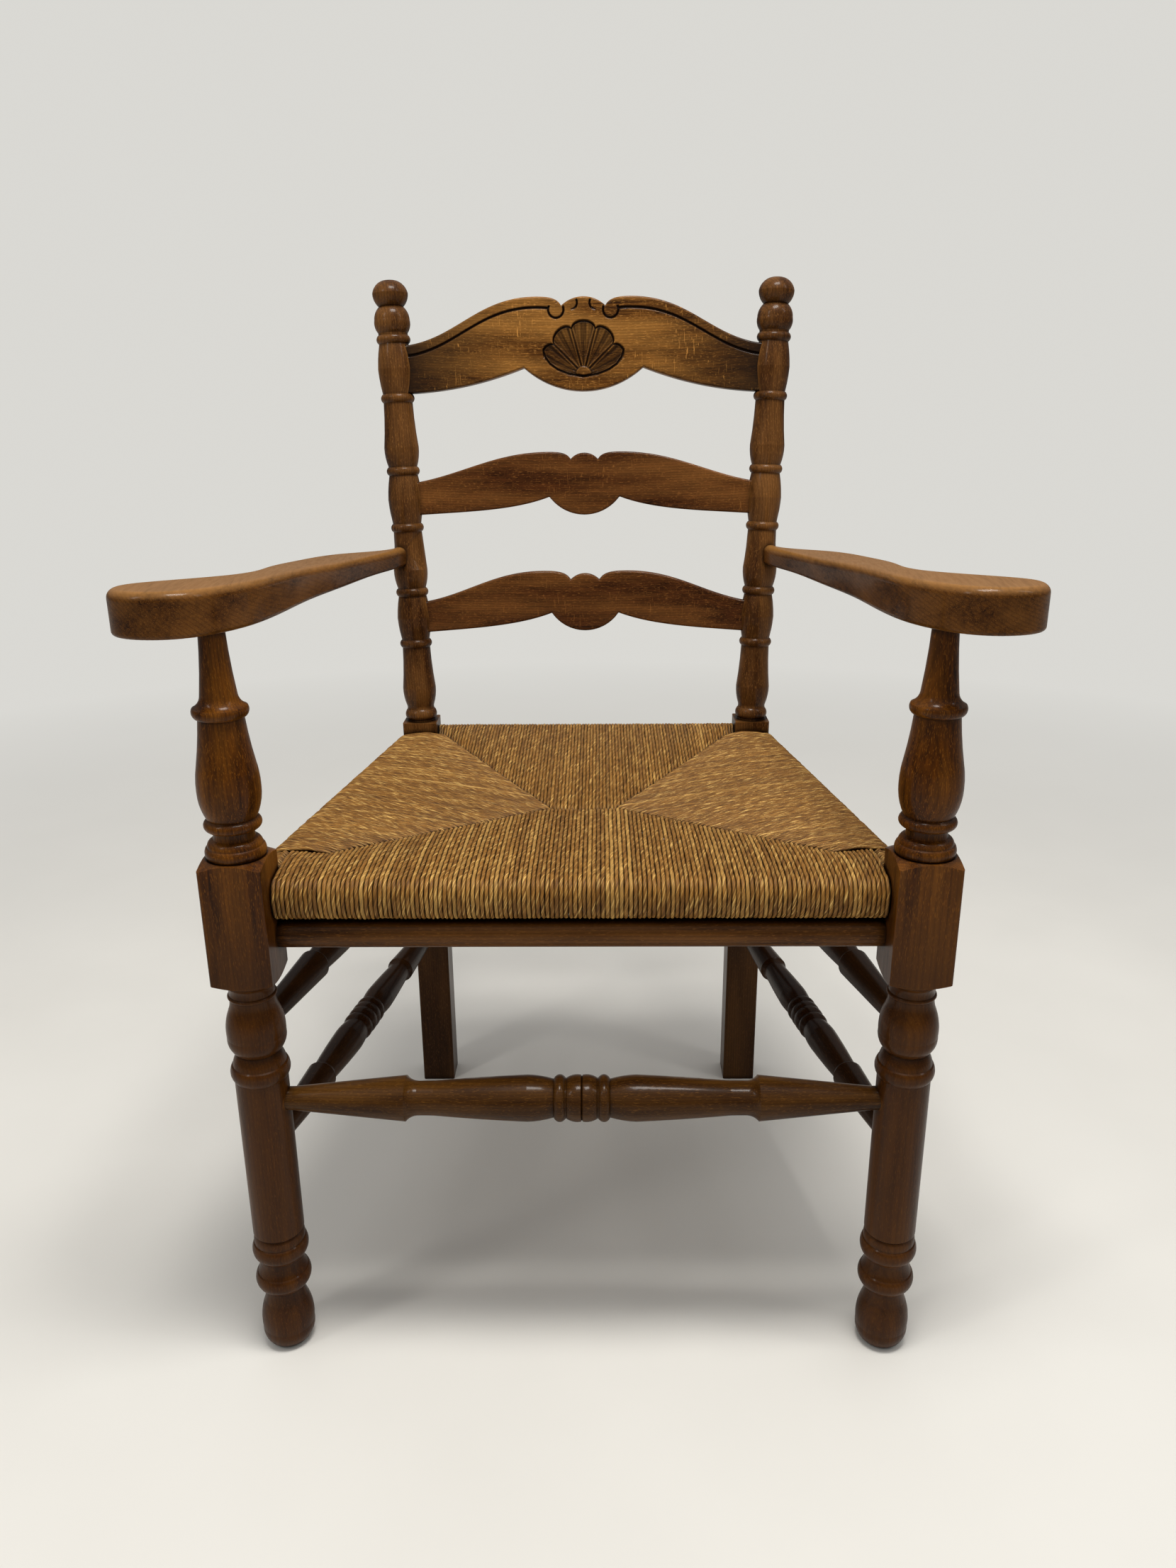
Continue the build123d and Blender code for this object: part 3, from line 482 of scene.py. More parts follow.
def slat_point(across, up, depth):
    """A point by its place across the slat, its height along the slat and its depth to the front."""
    return SLAT_FOOT + Vector((across, 0, 0)) + SLAT_UP * up + SLAT_FRONT * depth


def measure_bend(plank, half, low_up, high_up):
    """The depth of the back face across the slat, as a smooth even curve."""
    found = []
    for across in np.linspace(-half + END_MARGIN, half - END_MARGIN, 41):
        for up in np.linspace(low_up, high_up, 9)[3:6]:
            hit, spot, _, _ = plank.ray_cast(slat_point(across, up, BEHIND), SLAT_FRONT)
            if hit:
                found.append((across, (spot - SLAT_FOOT).dot(SLAT_FRONT)))
                break
    across, depth = np.array(found).T
    return np.polyfit(across, depth, 4)


def measure_edges(plank, columns, bend, thickness):
    """The lower and the upper edge of the slat at each column."""
    edges = []
    for across in columns:
        middle = np.polyval(bend, across) + thickness / 2
        _, top, _, _ = plank.ray_cast(slat_point(across, ABOVE, middle), -SLAT_UP)
        _, bottom, _, _ = plank.ray_cast(slat_point(across, BELOW, middle), SLAT_UP)
        edges.append(((bottom - SLAT_FOOT).dot(SLAT_UP), (top - SLAT_FOOT).dot(SLAT_UP)))
    return np.array(edges).T


def slat_span(node):
    """Half the slat's width, and its lowest and highest point along the slat."""
    low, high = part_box(node)
    return high.x, (low.z - SLAT_FOOT.z) / math.cos(RAKE), (high.z - SLAT_FOOT.z) / math.cos(RAKE)


for node in ("crest_rail", "middle_slat", "lower_slat"):
    print(node, [round(x, 4) for x in slat_span(node)])

# %% [markdown]
# ## Shaping a slat
# A slat is then a row of closed sections, one for each column: up the front face, over a rounded
# upper edge, down the back and round the lower edge. Neighbouring sections are joined by faces.
# The front can be given a carving, a depth in millimetres for every point of it, so one function
# makes the plain slats and the carved one.

# %% Shaping a slat
EDGE_ROUND = 0.0022
ROUND_STEPS = 5


def rounded():
    """A quarter of a round edge, as steps of (outwards, inwards) shares of its radius."""
    angles = np.linspace(0, math.pi / 2, ROUND_STEPS)
    return np.column_stack((np.sin(angles), np.cos(angles)))


def slat_section(rows, cut, low, high, back, front):
    """One closed section as (height, depth): rows is the front face with its cuts."""
    r = EDGE_ROUND
    section = [(up, front - c / 1000) for up, c in zip(rows, cut)]
    section += [(high - r + r * s, front - r + r * c) for s, c in rounded()[1:]]
    section += [(high - r + r * c, back + r - r * s) for s, c in rounded()]
    section += [(up, back) for up in np.linspace(high - r, low + r, 8)[1:-1]]
    section += [(low + r - r * s, back + r - r * c) for s, c in rounded()]
    section += [(low + r - r * c, front - r + r * s) for s, c in rounded()[:-1]]
    return section


def shape_slat(name, node, thickness, columns, low_rows, edge_rows, carving=None):
    """Builds a slat over its solid; edge_rows keep their distance from the upper edge."""
    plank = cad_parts[node]
    bend = measure_bend(plank, *slat_span(node))
    bottom, top = measure_edges(plank, columns, bend, thickness)
    ground = bottom[len(columns) // 2]
    points, stains_and_shades = [], []
    for across, low, high in zip(columns, bottom, top):
        back = np.polyval(bend, across)
        upper_start = high - edge_rows[0] if len(edge_rows) else high - EDGE_ROUND
        rows = np.linspace(low + EDGE_ROUND, upper_start, low_rows, endpoint=not len(edge_rows))
        rows = np.concatenate((rows, high - edge_rows)) if len(edge_rows) else rows
        cut, stain_and_shade = np.zeros(len(rows)), np.zeros(len(rows))
        if carving is not None:
            cut, stain_and_shade = carving(across * 1000, (rows - ground) * 1000, (high - ground) * 1000)
        section = slat_section(rows, cut, low, high, back, back + thickness)
        points += [slat_point(across, up, depth) for up, depth in section]
        stains_and_shades += list(stain_and_shade) + [0.0] * (len(section) - len(stain_and_shade))
    return join_sections(name, points, len(columns), stains_and_shades)


def join_sections(name, points, count, stains_and_shades):
    """Faces between neighbouring sections, and one at each end."""
    ring = len(points) // count
    faces = []
    for j in range(count - 1):
        a, b = j * ring, (j + 1) * ring
        faces += [(a + i, b + i, b + (i + 1) % ring, a + (i + 1) % ring) for i in range(ring)]
    faces.append(tuple(range(ring - 1, -1, -1)))
    faces.append(tuple(range((count - 1) * ring, count * ring)))
    mesh = bpy.data.meshes.new(name)
    mesh.from_pydata(points, [], faces)
    stain_and_shade_in_cut = mesh.attributes.new("stain_and_shade", "FLOAT", "POINT")
    stain_and_shade_in_cut.data.foreach_set("value", np.array(stains_and_shades, np.float32))
    mesh.polygons.foreach_set("use_smooth", np.ones(len(mesh.polygons), bool))
    mesh.update()
    slat = bpy.data.objects.new(name, mesh)
    bpy.context.scene.collection.objects.link(slat)
    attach(slat, "root")
    return slat


print("slat maker ready")

# %% [markdown]
# ## The two plain slats
# The middle and the lower slat have the same scrolled upper edge and a round lobe below, and no
# carving. They could have stayed plain solids, but light catches an eased edge and not a sharp one.
# Columns about a millimetre apart are fine enough for their cusps.

# %% Plain slats
SLAT_BROWN = (0.092, 0.0290, 0.0070)
SLAT_WORN = (0.220, 0.0880, 0.0210)
SLAT_THICK = 0.012
END_GAP = 0.0006  # a slat stops this far inside the ends of its solid
NO_ROWS = np.array([])

for seed, node in ((31, "middle_slat"), (32, "lower_slat")):
    half = slat_span(node)[0] - END_GAP
    columns = np.linspace(-half, half, 361)
    slat = shape_slat(node + "_eased", node, SLAT_THICK, columns, 9, NO_ROWS)
    finish = beech(node + "_beech", X_RUN, DARK_BROWN, SLAT_BROWN, SLAT_WORN, seed, edge_wear=0.7, hairs=0.35)
    slat.data.materials.append(finish)
    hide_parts(node)
    print(slat.name, "faces", len(slat.data.polygons))

# %% [markdown]
# ## The cut lines of the crest
# The top slat carries the chair's only ornament, a common one on country furniture: a line cut
# along under the upper edge that ends in a small round scroll on each side, two nicks between the
# scrolls, and a shell of five lobes. The cuts could be taken out of the slat with other solids, but
# a gouge leaves sloping sides. So the carving is written as depths, in millimetres from the middle
# of the lower edge: each cut is deepest on its line and runs out to nothing at its sides.

# %% Line, scrolls and nicks
CUT_DEPTH = 1.9
LINE_BELOW_EDGE = 11.0
SCROLL_AT = (29.0, 81.2)
SCROLL_ROUND = 8.1
NICK_AT = (13.3, 88.0)
NICK_ROUND = 6.7


def gouged(distance, half_width, depth):
    """The depth of a cut with sloping sides at a distance from its line."""
    return depth * np.clip(1 - np.abs(distance) / half_width, 0, 1)


def edge_line(u, v, top):
    """The line under the upper edge, from the posts to the scrolls."""
    below = np.where(u > SCROLL_AT[0] + 8.0, v - (top - LINE_BELOW_EDGE), 99.0)
    return gouged(below * 0.9, 1.6, CUT_DEPTH)


def scrolls(u, v):
    """The line ends in a round, open at its upper side."""
    across, above = u - SCROLL_AT[0], v - SCROLL_AT[1]
    ring = np.hypot(across, above) - SCROLL_ROUND
    open_side = above > np.where(across > 0, 4.0, 10.0)
    return np.where(open_side, 0.0, gouged(ring, 1.5, CUT_DEPTH))


def nicks(u, v):
    """A short bowed cut on each side of the middle, which runs out below."""
    across, above = u - NICK_AT[0], v - NICK_AT[1]
    ring = np.hypot(across, above) - NICK_ROUND
    run_out = np.clip((above + 7.5) / 3.0, 0, 1)
    return np.where(across > 0, 0.0, gouged(ring, 1.4, CUT_DEPTH) * run_out)


print("cuts are", CUT_DEPTH, "mm deep")

# %% [markdown]
# ## The shell
# The shell is a fan of five hollow lobes round a small half-round hub, with raised ribs between
# them and a deep cut round the whole. Its lobes are not quite alike, so each one has its own angle
# and reach, measured from the middle of the hub. The function returns two things for each point:
# how deep the wood is cut, and how dark it is drawn: the stain that was left in the cut, with
# painted shade that is darker in the cut lines, lobes and creases and paler on the ribs.

# %% Shell
HUB_UP = 16.5
HUB_ROUND = 8.7
LOBE_EDGES = np.radians([0.0, 15.4, 46.0, 86.0])
LOBE_FEET = (46.4, 46.4, 42.0, 38.0)
LOBE_TIPS = (53.6, 51.5, 49.0)
SHELL_FLOOR = ((0.0, 16.1, 27.4, 35.5, 40.3, 42.3, 44.0), (14.8, 17.4, 21.7, 27.2, 33.5, 39.1, 49.0))
SHELL_DEPTH = 2.0


def lobe_of(turn):
    """For an angle from upright: the lobe's reach, the place across it (-1..1) and its half width."""
    reach, place, width = np.zeros_like(turn), np.zeros_like(turn), np.ones_like(turn)
    for k in range(3):
        start = -LOBE_EDGES[1] if k == 0 else LOBE_EDGES[k]
        stop = LOBE_EDGES[k + 1]
        here = (turn >= max(start, 0)) & ((turn < stop) if k < 2 else (turn < 9))
        middle, half = (start + stop) / 2, (stop - start) / 2
        t = np.clip((turn - middle) / half, -1, 1)
        foot = LOBE_FEET[k] + (LOBE_FEET[k + 1] - LOBE_FEET[k]) * (t + 1) / 2
        tip = LOBE_TIPS[k] - (LOBE_FEET[k] + LOBE_FEET[k + 1]) / 2
        reach = np.where(here, foot + tip * np.sqrt(1 - t * t), reach)
        place, width = np.where(here, t, place), np.where(here, half, width)
    return reach, place, width


def shell(u, v):
    """Five lobes round a half-round hub, with a cut line round the whole: depth, and darkness of staining and
    painted shade.
    """
    away, turn = np.hypot(u, v - HUB_UP), np.arctan2(u, v - HUB_UP)
    reach, place, width = lobe_of(turn)
    floor_line = np.interp(u, *SHELL_FLOOR)
    rise = np.interp(u + 0.5, *SHELL_FLOOR) - np.interp(u - 0.5, *SHELL_FLOOR)
    room = np.minimum(reach - away, (v - floor_line) / np.hypot(1, rise))
    inside = np.clip((room - 0.4) / 1.4, 0, 1)
    from_line = (1 - np.abs(place)) * width * away
    crease = gouged(from_line, 0.8, 1.0)
    rib = np.exp(-((from_line - 1.6) / 0.8) ** 2) * (turn < 1.3)
    flutes = 0.6 * np.sin(place * 8.0 + 1.3) + 0.4 * np.sin(place * 21.0 + away * 0.08)
    depth = inside * (SHELL_DEPTH - 1.0 * rib + 0.5 * crease + 0.25 * flutes)
    # Painted shade in the carving: the cut lines and lobes are drawn dark, darker in the creases and paler on
    # the ribs, on top of the stain left there.
    rim = np.clip(1.5 * gouged(room, 1.7, 1.0), 0, 1)
    stain_and_shade = inside * np.clip(0.68 + 0.32 * crease - 0.50 * rib + 0.24 * flutes, 0, 1)
    hub = (away < HUB_ROUND) & (room > 1.0)
    hub_rim = np.where(room > 0, gouged(away - HUB_ROUND, 1.0, 1.0), 0)
    depth = np.where(hub, 0.3, depth)
    stain_and_shade = np.where(hub, 0.12, stain_and_shade)
    lines = np.maximum(rim, 0.75 * hub_rim)
    return np.maximum(depth, 2.6 * lines), np.maximum(stain_and_shade, lines)


def crest_carving(across, v, top):
    """Depth of the carving at points of one column, and how dark it is drawn there, staining and painted
    shade.
    """
    u = np.full_like(v, abs(across))
    lines = np.maximum(np.maximum(edge_line(u, v, top), scrolls(u, v)), nicks(u, v))
    shell_depth, shell_stain_and_shade = shell(u, v)
    return np.maximum(lines, shell_depth), np.maximum(np.clip(lines / 0.9, 0, 1), shell_stain_and_shade)


middle_column = shell(np.zeros(90), np.arange(0, 90.0))[0]
print("deepest cut of the shell, mm:", round(float(middle_column.max()), 2))

# %% [markdown]
# ## The crest
# The carving is only as crisp as the mesh that it is cut in. The columns are under half a
# millimetre apart at the shell and wider towards the posts, and the rows near the upper edge keep
# their distance from it, so that the line along it runs clean. The darkness of each point, stain
# left in the cut together with painted shade, is kept as an attribute, and the finish uses it to
# darken the cuts. The middle of the crest is honey brown, polished by backs, and its ends have
# stayed dark.

# %% Crest
CREST_BROWN = (0.185, 0.0720, 0.0130)
CREST_HONEY = (0.430, 0.2000, 0.0450)
CREST_END = (0.012, 0.0065, 0.0040)
DARK_FROM, DARK_TO = 0.075, 0.185
CREST_THICK = 0.016
SHELL_HALF = 0.053

half = slat_span("crest_rail")[0] - END_GAP
outer = np.linspace(SHELL_HALF, half, 92)
inner = np.linspace(-SHELL_HALF, SHELL_HALF, 237)
columns = np.concatenate((-outer[:0:-1], inner, outer[1:]))
edge_rows = np.arange(0.0180, EDGE_ROUND - 1e-6, -0.0005)
crest = shape_slat("crest_carved", "crest_rail", CREST_THICK, columns, 112, edge_rows, crest_carving)
finish = beech("crest_beech", X_RUN, DARK_BROWN, CREST_BROWN, CREST_HONEY, 33, edge_wear=0.6,
               cut="stain_and_shade", ends=(DARK_FROM, DARK_TO, CREST_END), hairs=0.5)
crest.data.materials.append(finish)
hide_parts("crest_rail")
print("crest faces", len(crest.data.polygons))

# %% [markdown]
# ## The finish of rush
# The seat is wound from one cord, twisted by hand from long wet rushes. Dry rush is straw coloured
# where it caught the sun and brown where it did not, so each cord shows pale and dark streaks that
# wind round it with the twist. A texture laid on from above would run straight across the cords.
# The finish therefore reads an attribute, written when the cords are wound, that says how far along
# the cord a point lies and on which side of its twist.

# %% Rush finish
RUSH_DARK = (0.070, 0.0260, 0.0040)
RUSH_BROWN = (0.360, 0.1620, 0.0260)
RUSH_STRAW = (0.880, 0.5600, 0.1700)
GAP_SHADE = (0.012, 0.0050, 0.0010)


def rush_finish(name):
    """Streaks run with the twist: the fibre attribute is the length and the place round the cord."""
    finish, tree, shader = new_finish(name)
    fibre = add_node(tree, "ShaderNodeAttribute", {"attribute_name": "fibre"}).outputs["Vector"]
    shade = add_node(tree, "ShaderNodeAttribute", {"attribute_name": "shade"}).outputs["Fac"]
    drawn = add_node(tree, "ShaderNodeMapping", Vector=fibre, Scale=(34.0, 1.9, 1.9)).outputs[0]
    streak = noise_in(tree, drawn, Scale=1.0, Detail=2.0, Roughness=0.6)
    fine = add_node(tree, "ShaderNodeMapping", Vector=fibre, Scale=(45.0, 7.0, 7.0)).outputs[0]
    hairs = noise_in(tree, fine, Scale=1.0, Detail=2.0)
    colour = mix_colours(tree, stretch(tree, streak, 0.26, 0.50), RUSH_DARK, RUSH_BROWN)
    colour = mix_colours(tree, stretch(tree, streak, 0.55, 0.67), colour, RUSH_STRAW)
    colour = mix_colours(tree, stretch(tree, hairs, 0.35, 0.62, 0.60, 0.0), colour, RUSH_DARK)
    colour = mix_colours(tree, stretch(tree, shade, 0.0, 0.5, 0.45, 0.0), colour, RUSH_DARK)
    colour = mix_colours(tree, stretch(tree, shade, 0.5, 1.0, 0.0, 0.45), colour, RUSH_STRAW)
    # Painted shade between the cords: where other cords are near, the rush is drawn near black.
    gap_shade = add_node(tree, "ShaderNodeAmbientOcclusion", {"samples": 6}, Distance=0.005).outputs["AO"]
    colour = mix_colours(tree, stretch(tree, gap_shade, 0.35, 0.90, 0.95, 0.0), colour, GAP_SHADE)
    tree.links.new(colour, shader.inputs["Base Color"])
    tree.links.new(stretch(tree, hairs, 0.3, 0.7, 0.62, 0.42), shader.inputs["Roughness"])
    shader.inputs["Specular IOR Level"].default_value = 0.25
    bump = add_node(tree, "ShaderNodeBump", Strength=0.5, Distance=0.0005, Height=hairs)
    tree.links.new(bump.outputs[0], shader.inputs["Normal"])
    return finish


rush_coat = rush_finish("rush_straw")
print("rush finish ready")

# %% [markdown]
# ## Winding a cord
# Two strands of rush are twisted round each other, so a cord is not round: its section has two low
# lobes that wind along it. A curve with a bevel would give a smooth pipe. So rings of points are
# set along the line of the cord, each with the two lobes turned a little further. The thickness,
# the lie and the tone wander a little, seeded, so that each run of the script winds the same seat.

# %% Winding a cord
CORD_SIDES = 8
TIGHT_TWIST, SLACK_TWIST = 0.0150, 0.0190
LOBE_HEIGHT = 0.10
DRIFT = 0.0003
WAVER = 0.00025


def wander(rng, length, waves):
    """A smooth random value along a cord, about -1 to 1."""
    total = np.zeros_like(length)
    for wave in waves:
        total += np.sin(length / wave * 2 * math.pi + rng.uniform(0, 7)) * rng.uniform(0.4, 1.0)
    return total / len(waves)


def wind_cord(rng, number, line, rail_way, thick, tone, twist):
    """Rings of points along a line; the section has two lobes that turn with the twist."""
    step = np.gradient(line, axis=0)
    step /= np.linalg.norm(step, axis=1)[:, None]
    lift = np.cross(np.broadcast_to(rail_way, step.shape), step)
    lift /= np.linalg.norm(lift, axis=1)[:, None]
    length = np.concatenate(([0.0], np.cumsum(np.linalg.norm(np.diff(line, axis=0), axis=1))))
    turned = length / twist * math.pi + rng.uniform(0, math.pi) + 0.5 * wander(rng, length, (0.05, 0.11))
    angle = np.linspace(0, 2 * math.pi, CORD_SIDES, endpoint=False)
    lobe = angle[None, :] - turned[:, None]
    size = thick * (1 + 0.05 * wander(rng, length, (0.02, 0.045, 0.09)))
    radius = size[:, None] * (1 + LOBE_HEIGHT * np.cos(2 * lobe))
    drift = DRIFT * wander(rng, length, (0.05, 0.12))
    waver = WAVER * wander(rng, length, (0.03, 0.08))
    centre = line + drift[:, None] * rail_way + waver[:, None] * lift
    ring = (centre[:, None, :] + (radius * np.cos(angle))[:, :, None] * lift[:, None, :]
            + (radius * np.sin(angle))[:, :, None] * rail_way)
    far = np.broadcast_to(length[:, None] + 0.71 * number, lobe.shape)
    fibre = np.stack((far, np.cos(lobe), np.sin(lobe)), axis=2)
    mood = tone + 0.16 * rng.standard_normal() + 0.16 * wander(rng, length, (0.06, 0.15))
    shade = np.broadcast_to(mood[:, None], lobe.shape)
    return ring.reshape(-1, 3), fibre.reshape(-1, 3), shade.reshape(-1)


def cord_faces(start, rings):
    """Faces between the rings of one cord, and one at each of its ends."""
    after = [(k + 1) % CORD_SIDES for k in range(CORD_SIDES)]
    faces = []
    for i in range(rings - 1):
        a, b = start + i * CORD_SIDES, start + (i + 1) * CORD_SIDES
        faces += [(a + k, a + after[k], b + after[k], b + k) for k in range(CORD_SIDES)]
    faces.append(tuple(range(start + CORD_SIDES - 1, start - 1, -1)))
    faces.append(tuple(range(start + (rings - 1) * CORD_SIDES, start + rings * CORD_SIDES)))
    return faces


print("cord maker ready")

# %% [markdown]
# ## The way of a turn
# Each turn of the cord comes up round a rail, crosses the seat to the mitre and dives down between
# the turns from the next rail. Seen from the end of its rail it is a flat loop: down in the mitre,
# over the top, round the rail and back underneath. A slab with bumps never looks like that from the
# side, so one function draws the loop from the distance between rail and mitre. The seat has been
# sat in for years, so the mitres sink towards the middle.

# %% The way of a turn
RAIL_UP = 0.438
WRAP = 0.0146
TURN_TOP = RAIL_UP + WRAP
TURN_UNDER = RAIL_UP - WRAP
SAG = 0.0125
SAG_HALF, SAG_START, SAG_LENGTH = 0.240, 0.200, 0.225  # to the sides, and from the bridge backwards
CROWN = 0.0024
BACK_RISE = 0.0045
FRONT_DROOP = 0.0036
SQUARED = 0.82
CORD_THICK = 0.0019
FINE_STEP, COARSE_STEP = 0.0028, 0.009
DIVE = ((0.0010, 0.0095), (0.0004, 0.0050), (-0.0009, 0.0016))  # past the mitre, and below its top
DIVE_START = 0.0032
CLIMB = (-0.001, 0.003)  # where a turn ends below: inwards, and up


def spaced(points, step):
    """Points at about equal steps along a line of points."""
    points = np.array(points)
    length = np.concatenate(([0.0], np.cumsum(np.linalg.norm(np.diff(points, axis=0), axis=1))))
    at = np.linspace(0, length[-1], max(2, int(round(length[-1] / step)) + 1))
    return np.column_stack([np.interp(at, length, points[:, k]) for k in range(2)])


def sunk(x, y):
    """How far the seat has sunk at a spot of a mitre: most in the middle, not at all in the corners."""
    away = max(abs(x) / SAG_HALF, (y - SAG_START) / SAG_LENGTH)
    return SAG * min(1.0, max(0.0, 1 - away))


def turn_of_cord(reach, sink, rise=0.0, droop=0.0):
    """(inwards from the rail, height) along one turn, from the mitre over the rail and back."""
    mitre_up = TURN_TOP - sink
    top_up, under = TURN_TOP + rise, TURN_UNDER - droop
    share = np.linspace(0, 1, 40)
    start = reach - DIVE_START
    dive = [(reach + past, mitre_up - below) for past, below in DIVE]
    over = []
    for t in share:
        over.append((start * (1 - t), mitre_up + (top_up - mitre_up) * t + CROWN * math.sin(math.pi * t)))
    bend = []
    for b in np.linspace(0.1, math.pi - 0.1, 16):
        tall = WRAP + (rise if b < math.pi / 2 else droop)
        up = math.copysign(abs(math.cos(b)) ** SQUARED, math.cos(b))
        bend.append((-WRAP * math.sin(b) ** SQUARED, RAIL_UP + tall * up))
    back = [(start * t, under) for t in share]
    climb = [(reach + CLIMB[0], under + CLIMB[1])]
    return np.vstack((spaced(dive + over + bend, FINE_STEP), spaced(back + climb, COARSE_STEP)))


print("turn of 100 mm has points:", len(turn_of_cord(0.1, 0.005)))

# %% [markdown]
# ## Where the mitres run
# The front rail is longer than the back one, so a rush seater first fills the two front corners
# with short turns. That is why the mitre runs straight for a bit beside the front legs before it
# sets off for the middle. The two mitres do not meet in a point: between them the turns from the
# front and from the back meet along a short straight bridge. The mitres are drawn as lines in plan,
# for the right half alone, and each turn asks them how far it may run.

# %% Where the mitres run
LEG_ROW = -0.221849  # plan lines are measured from the axes of the front legs
FRONT_SETBACK, BACK_ROW = 0.008, 0.434
FRONT_RAIL_Y = FRONT_SETBACK + LEG_ROW
BACK_RAIL_Y = BACK_ROW + LEG_ROW
BRIDGE_HALF = 0.032
CORNER = (0.250, 0.064)
FRONT_MITRE = [(0.0, 0.1972), (BRIDGE_HALF, 0.1962), (0.213, 0.061), CORNER]
BACK_MITRE = [(0.0, 0.1994), (BRIDGE_HALF, 0.1996), (0.166, 0.425), (0.175, 0.428)]
SIDE_RAIL = [(0.257, 0.025), (0.1985, 0.415)]
LEAN_ENDS, LEAN_MIDDLE = 0.08, 0.22
CORNER_EDGE = 0.2448
STUB_DROP = 0.002
BEFORE_CORNER, BEHIND_CORNER = 0.0020, 0.0022


def follow(line, at, from_axis=0):
    """The other coordinate of a plan line where one coordinate is given."""
    line = sorted(line, key=lambda spot: spot[from_axis])
    return np.interp(at, [spot[from_axis] for spot in line], [spot[1 - from_axis] for spot in line])


def front_turns(count=133, half=0.2428):
    """Lines of the turns round the front rail, from left to right."""
    for x in np.linspace(-half, half, count):
        mitre = follow(FRONT_MITRE, abs(x))
        way = turn_of_cord(mitre - FRONT_SETBACK, sunk(x, mitre), 0.0, FRONT_DROOP)
        yield np.column_stack((np.full(len(way), x), FRONT_RAIL_Y + way[:, 0], way[:, 1]))


def back_turns(count=99, half=0.1672):
    """Lines of the turns round the back rail, from left to right."""
    for x in np.linspace(-half, half, count):
        mitre = follow(BACK_MITRE, abs(x))
        way = turn_of_cord(BACK_ROW - mitre, sunk(x, mitre), BACK_RISE)
        yield np.column_stack((np.full(len(way), x), BACK_RAIL_Y - way[:, 0], way[:, 1]))


def reach_of_side(rail_x, rail_y, lean):
    """How far a turn runs inwards from the side rail until it meets a mitre."""
    inwards = np.arange(0.004, 0.25, 0.0005)
    x, y = rail_x - inwards, rail_y - lean * inwards
    before, behind = follow(FRONT_MITRE, x), follow(BACK_MITRE, x)
    stopped = (x < BRIDGE_HALF) | (y > behind) | (y < before)
    return inwards[np.argmax(stopped)]


def side_turns(side, stubs=10, count=99, first=0.0275, last=0.4130):
    """Lines of the turns round a side rail: the short ones in the corner, then the rest."""
    short = np.linspace(first, CORNER[1] - BEFORE_CORNER, stubs)
    full = np.linspace(CORNER[1] + BEHIND_CORNER, last, count)
    for number, y in enumerate(np.concatenate((short, full))):
        rail = follow(SIDE_RAIL, y, 1)
        share = max(0.0, (y - CORNER[1]) / (last - CORNER[1]))
        lean = LEAN_ENDS + (LEAN_MIDDLE - LEAN_ENDS) * math.sin(math.pi * share)
        reach = rail - CORNER_EDGE if number < stubs else reach_of_side(rail, y, lean)
        way = turn_of_cord(reach, sunk(rail - reach, y - lean * reach))
        inwards = np.clip(way[:, 0], 0, None)
        drop = STUB_DROP if number < stubs else 0.0
        yield np.column_stack((side * (rail - way[:, 0]), y + LEG_ROW - lean * inwards, way[:, 1] - drop))


for name, turns in (("front", front_turns()), ("back", back_turns()), ("side", side_turns(1))):
    print("turns of the", name, "panel:", len(list(turns)))

# %% [markdown]
# ## Four panels of rush
# All the turns round one rail lie side by side and make a panel. As one piece for each cord the
# seat would have hundreds of pieces, so the turns of a panel are joined in one mesh, together with
# the attributes that the finish reads. The front panel is the palest. The cords of the two sides
# are twisted the other way round from each other, as the work goes round the seat.

# %% Four panels of rush
def wind_panel(name, turns, rail_way, seed, tone, twist):
    """One panel of the seat, all its turns as one piece."""
    rng = np.random.default_rng(seed)
    points, fibres, shades, faces, count = [], [], [], [], 0
    for number, line in enumerate(turns):
        ring, fibre, shade = wind_cord(rng, number, line, np.array(rail_way),
                                       CORD_THICK * rng.uniform(0.95, 1.06), tone, twist)
        faces += cord_faces(count, len(line))
        points.append(ring)
        fibres.append(fibre)
        shades.append(shade)
        count += len(ring)
    mesh = bpy.data.meshes.new(name)
    mesh.from_pydata(np.vstack(points).tolist(), [], faces)
    fibre = mesh.attributes.new("fibre", "FLOAT_VECTOR", "POINT")
    fibre.data.foreach_set("vector", np.vstack(fibres).astype(np.float32).ravel())
    shade = mesh.attributes.new("shade", "FLOAT", "POINT")
    shade.data.foreach_set("value", np.clip(np.concatenate(shades), 0, 1).astype(np.float32))
    mesh.polygons.foreach_set("use_smooth", np.ones(len(mesh.polygons), bool))
    mesh.update()
    panel = bpy.data.objects.new(name, mesh)
    bpy.context.scene.collection.objects.link(panel)
    mesh.materials.append(rush_coat)
    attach(panel, "root")
    print(name, "points", count)
    return panel


rush_front = wind_panel("rush_front", front_turns(), (1.0, 0.0, 0.0), 101, 0.44, TIGHT_TWIST)
wind_panel("rush_back", back_turns(), (1.0, 0.0, 0.0), 102, 0.33, TIGHT_TWIST)
wind_panel("rush_left", side_turns(-1), (0.0, 1.0, 0.0), 103, 0.30, SLACK_TWIST)
wind_panel("rush_right", side_turns(1), (0.0, 1.0, 0.0), 104, 0.30, -SLACK_TWIST)
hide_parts("rush_seat")

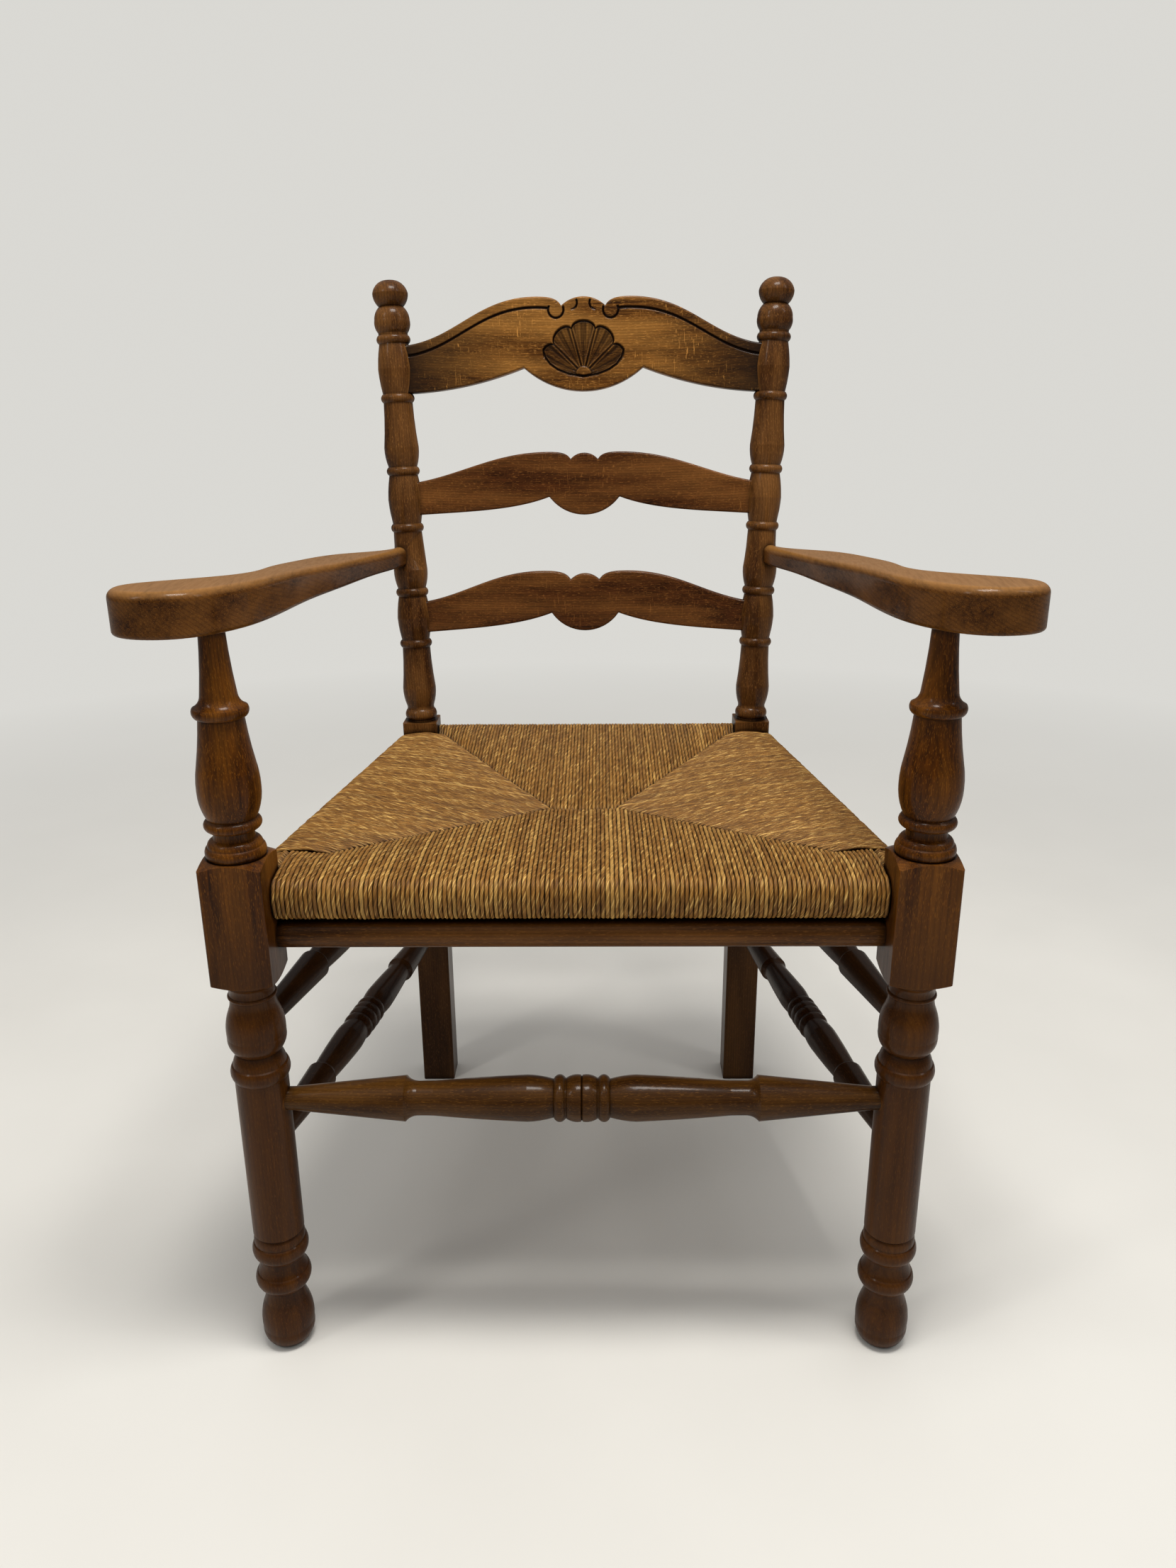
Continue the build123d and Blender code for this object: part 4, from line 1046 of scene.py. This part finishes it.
# %% [markdown]
# ## Stuffing
# Between the upper and the lower turns a rush seater packs broken rush, so that the seat stays
# full. It shows only as darkness between the cords. Each pad of it starts from the solid that
# holds its place, is divided evenly, and is then pressed in here and there into a lumpy body.

# %% Stuffing
LUMP = 0.0016
CHAFF_DARK = (0.05, 0.025, 0.008)


def stuffing_finish():
    """Broken rush, brown with dark chaff."""
    finish, tree, shader = new_finish("packed_rush")
    place = add_node(tree, "ShaderNodeTexCoord").outputs["Object"]
    chaff = noise_in(tree, place, Scale=260.0, Detail=5.0)
    colour = mix_colours(tree, stretch(tree, chaff, 0.3, 0.7), CHAFF_DARK, RUSH_BROWN)
    tree.links.new(colour, shader.inputs["Base Color"])
    tree.links.new(stretch(tree, chaff, 0.3, 0.7, 0.95, 0.75), shader.inputs["Roughness"])
    bump = add_node(tree, "ShaderNodeBump", Strength=0.8, Distance=0.001, Height=chaff)
    tree.links.new(bump.outputs[0], shader.inputs["Normal"])
    return finish


def pack_stuffing(side, finish):
    """A lumpy pad in the place of the plain one."""
    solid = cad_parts[side + "_stuffing_pad"]
    pad = bpy.data.objects.new(side + "_stuffing", solid.data.copy())
    bpy.context.scene.collection.objects.link(pad)
    even = pad.modifiers.new("even", "REMESH")
    even.mode = "VOXEL"
    even.voxel_size = 0.003
    bpy.context.view_layer.update()
    lumpy = bpy.data.meshes.new_from_object(pad.evaluated_get(bpy.context.evaluated_depsgraph_get()))
    pad.modifiers.clear()
    pad.data = lumpy
    for spot in lumpy.vertices:
        pressed = 0.5 + 0.5 * noise.noise(spot.co * 90.0)
        spot.co -= spot.normal * LUMP * pressed
    lumpy.materials.clear()
    lumpy.materials.append(finish)
    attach(pad, "root")
    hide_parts(side + "_stuffing_pad")
    print(pad.name, "points", len(lumpy.vertices))


packed = stuffing_finish()
for side in ("front", "back", "left", "right"):
    pack_stuffing(side, packed)

# %% [markdown]
# ## Closing
# The picture is shown with plain tones.

# %% Closing
bpy.context.scene.view_settings.view_transform = "Standard"
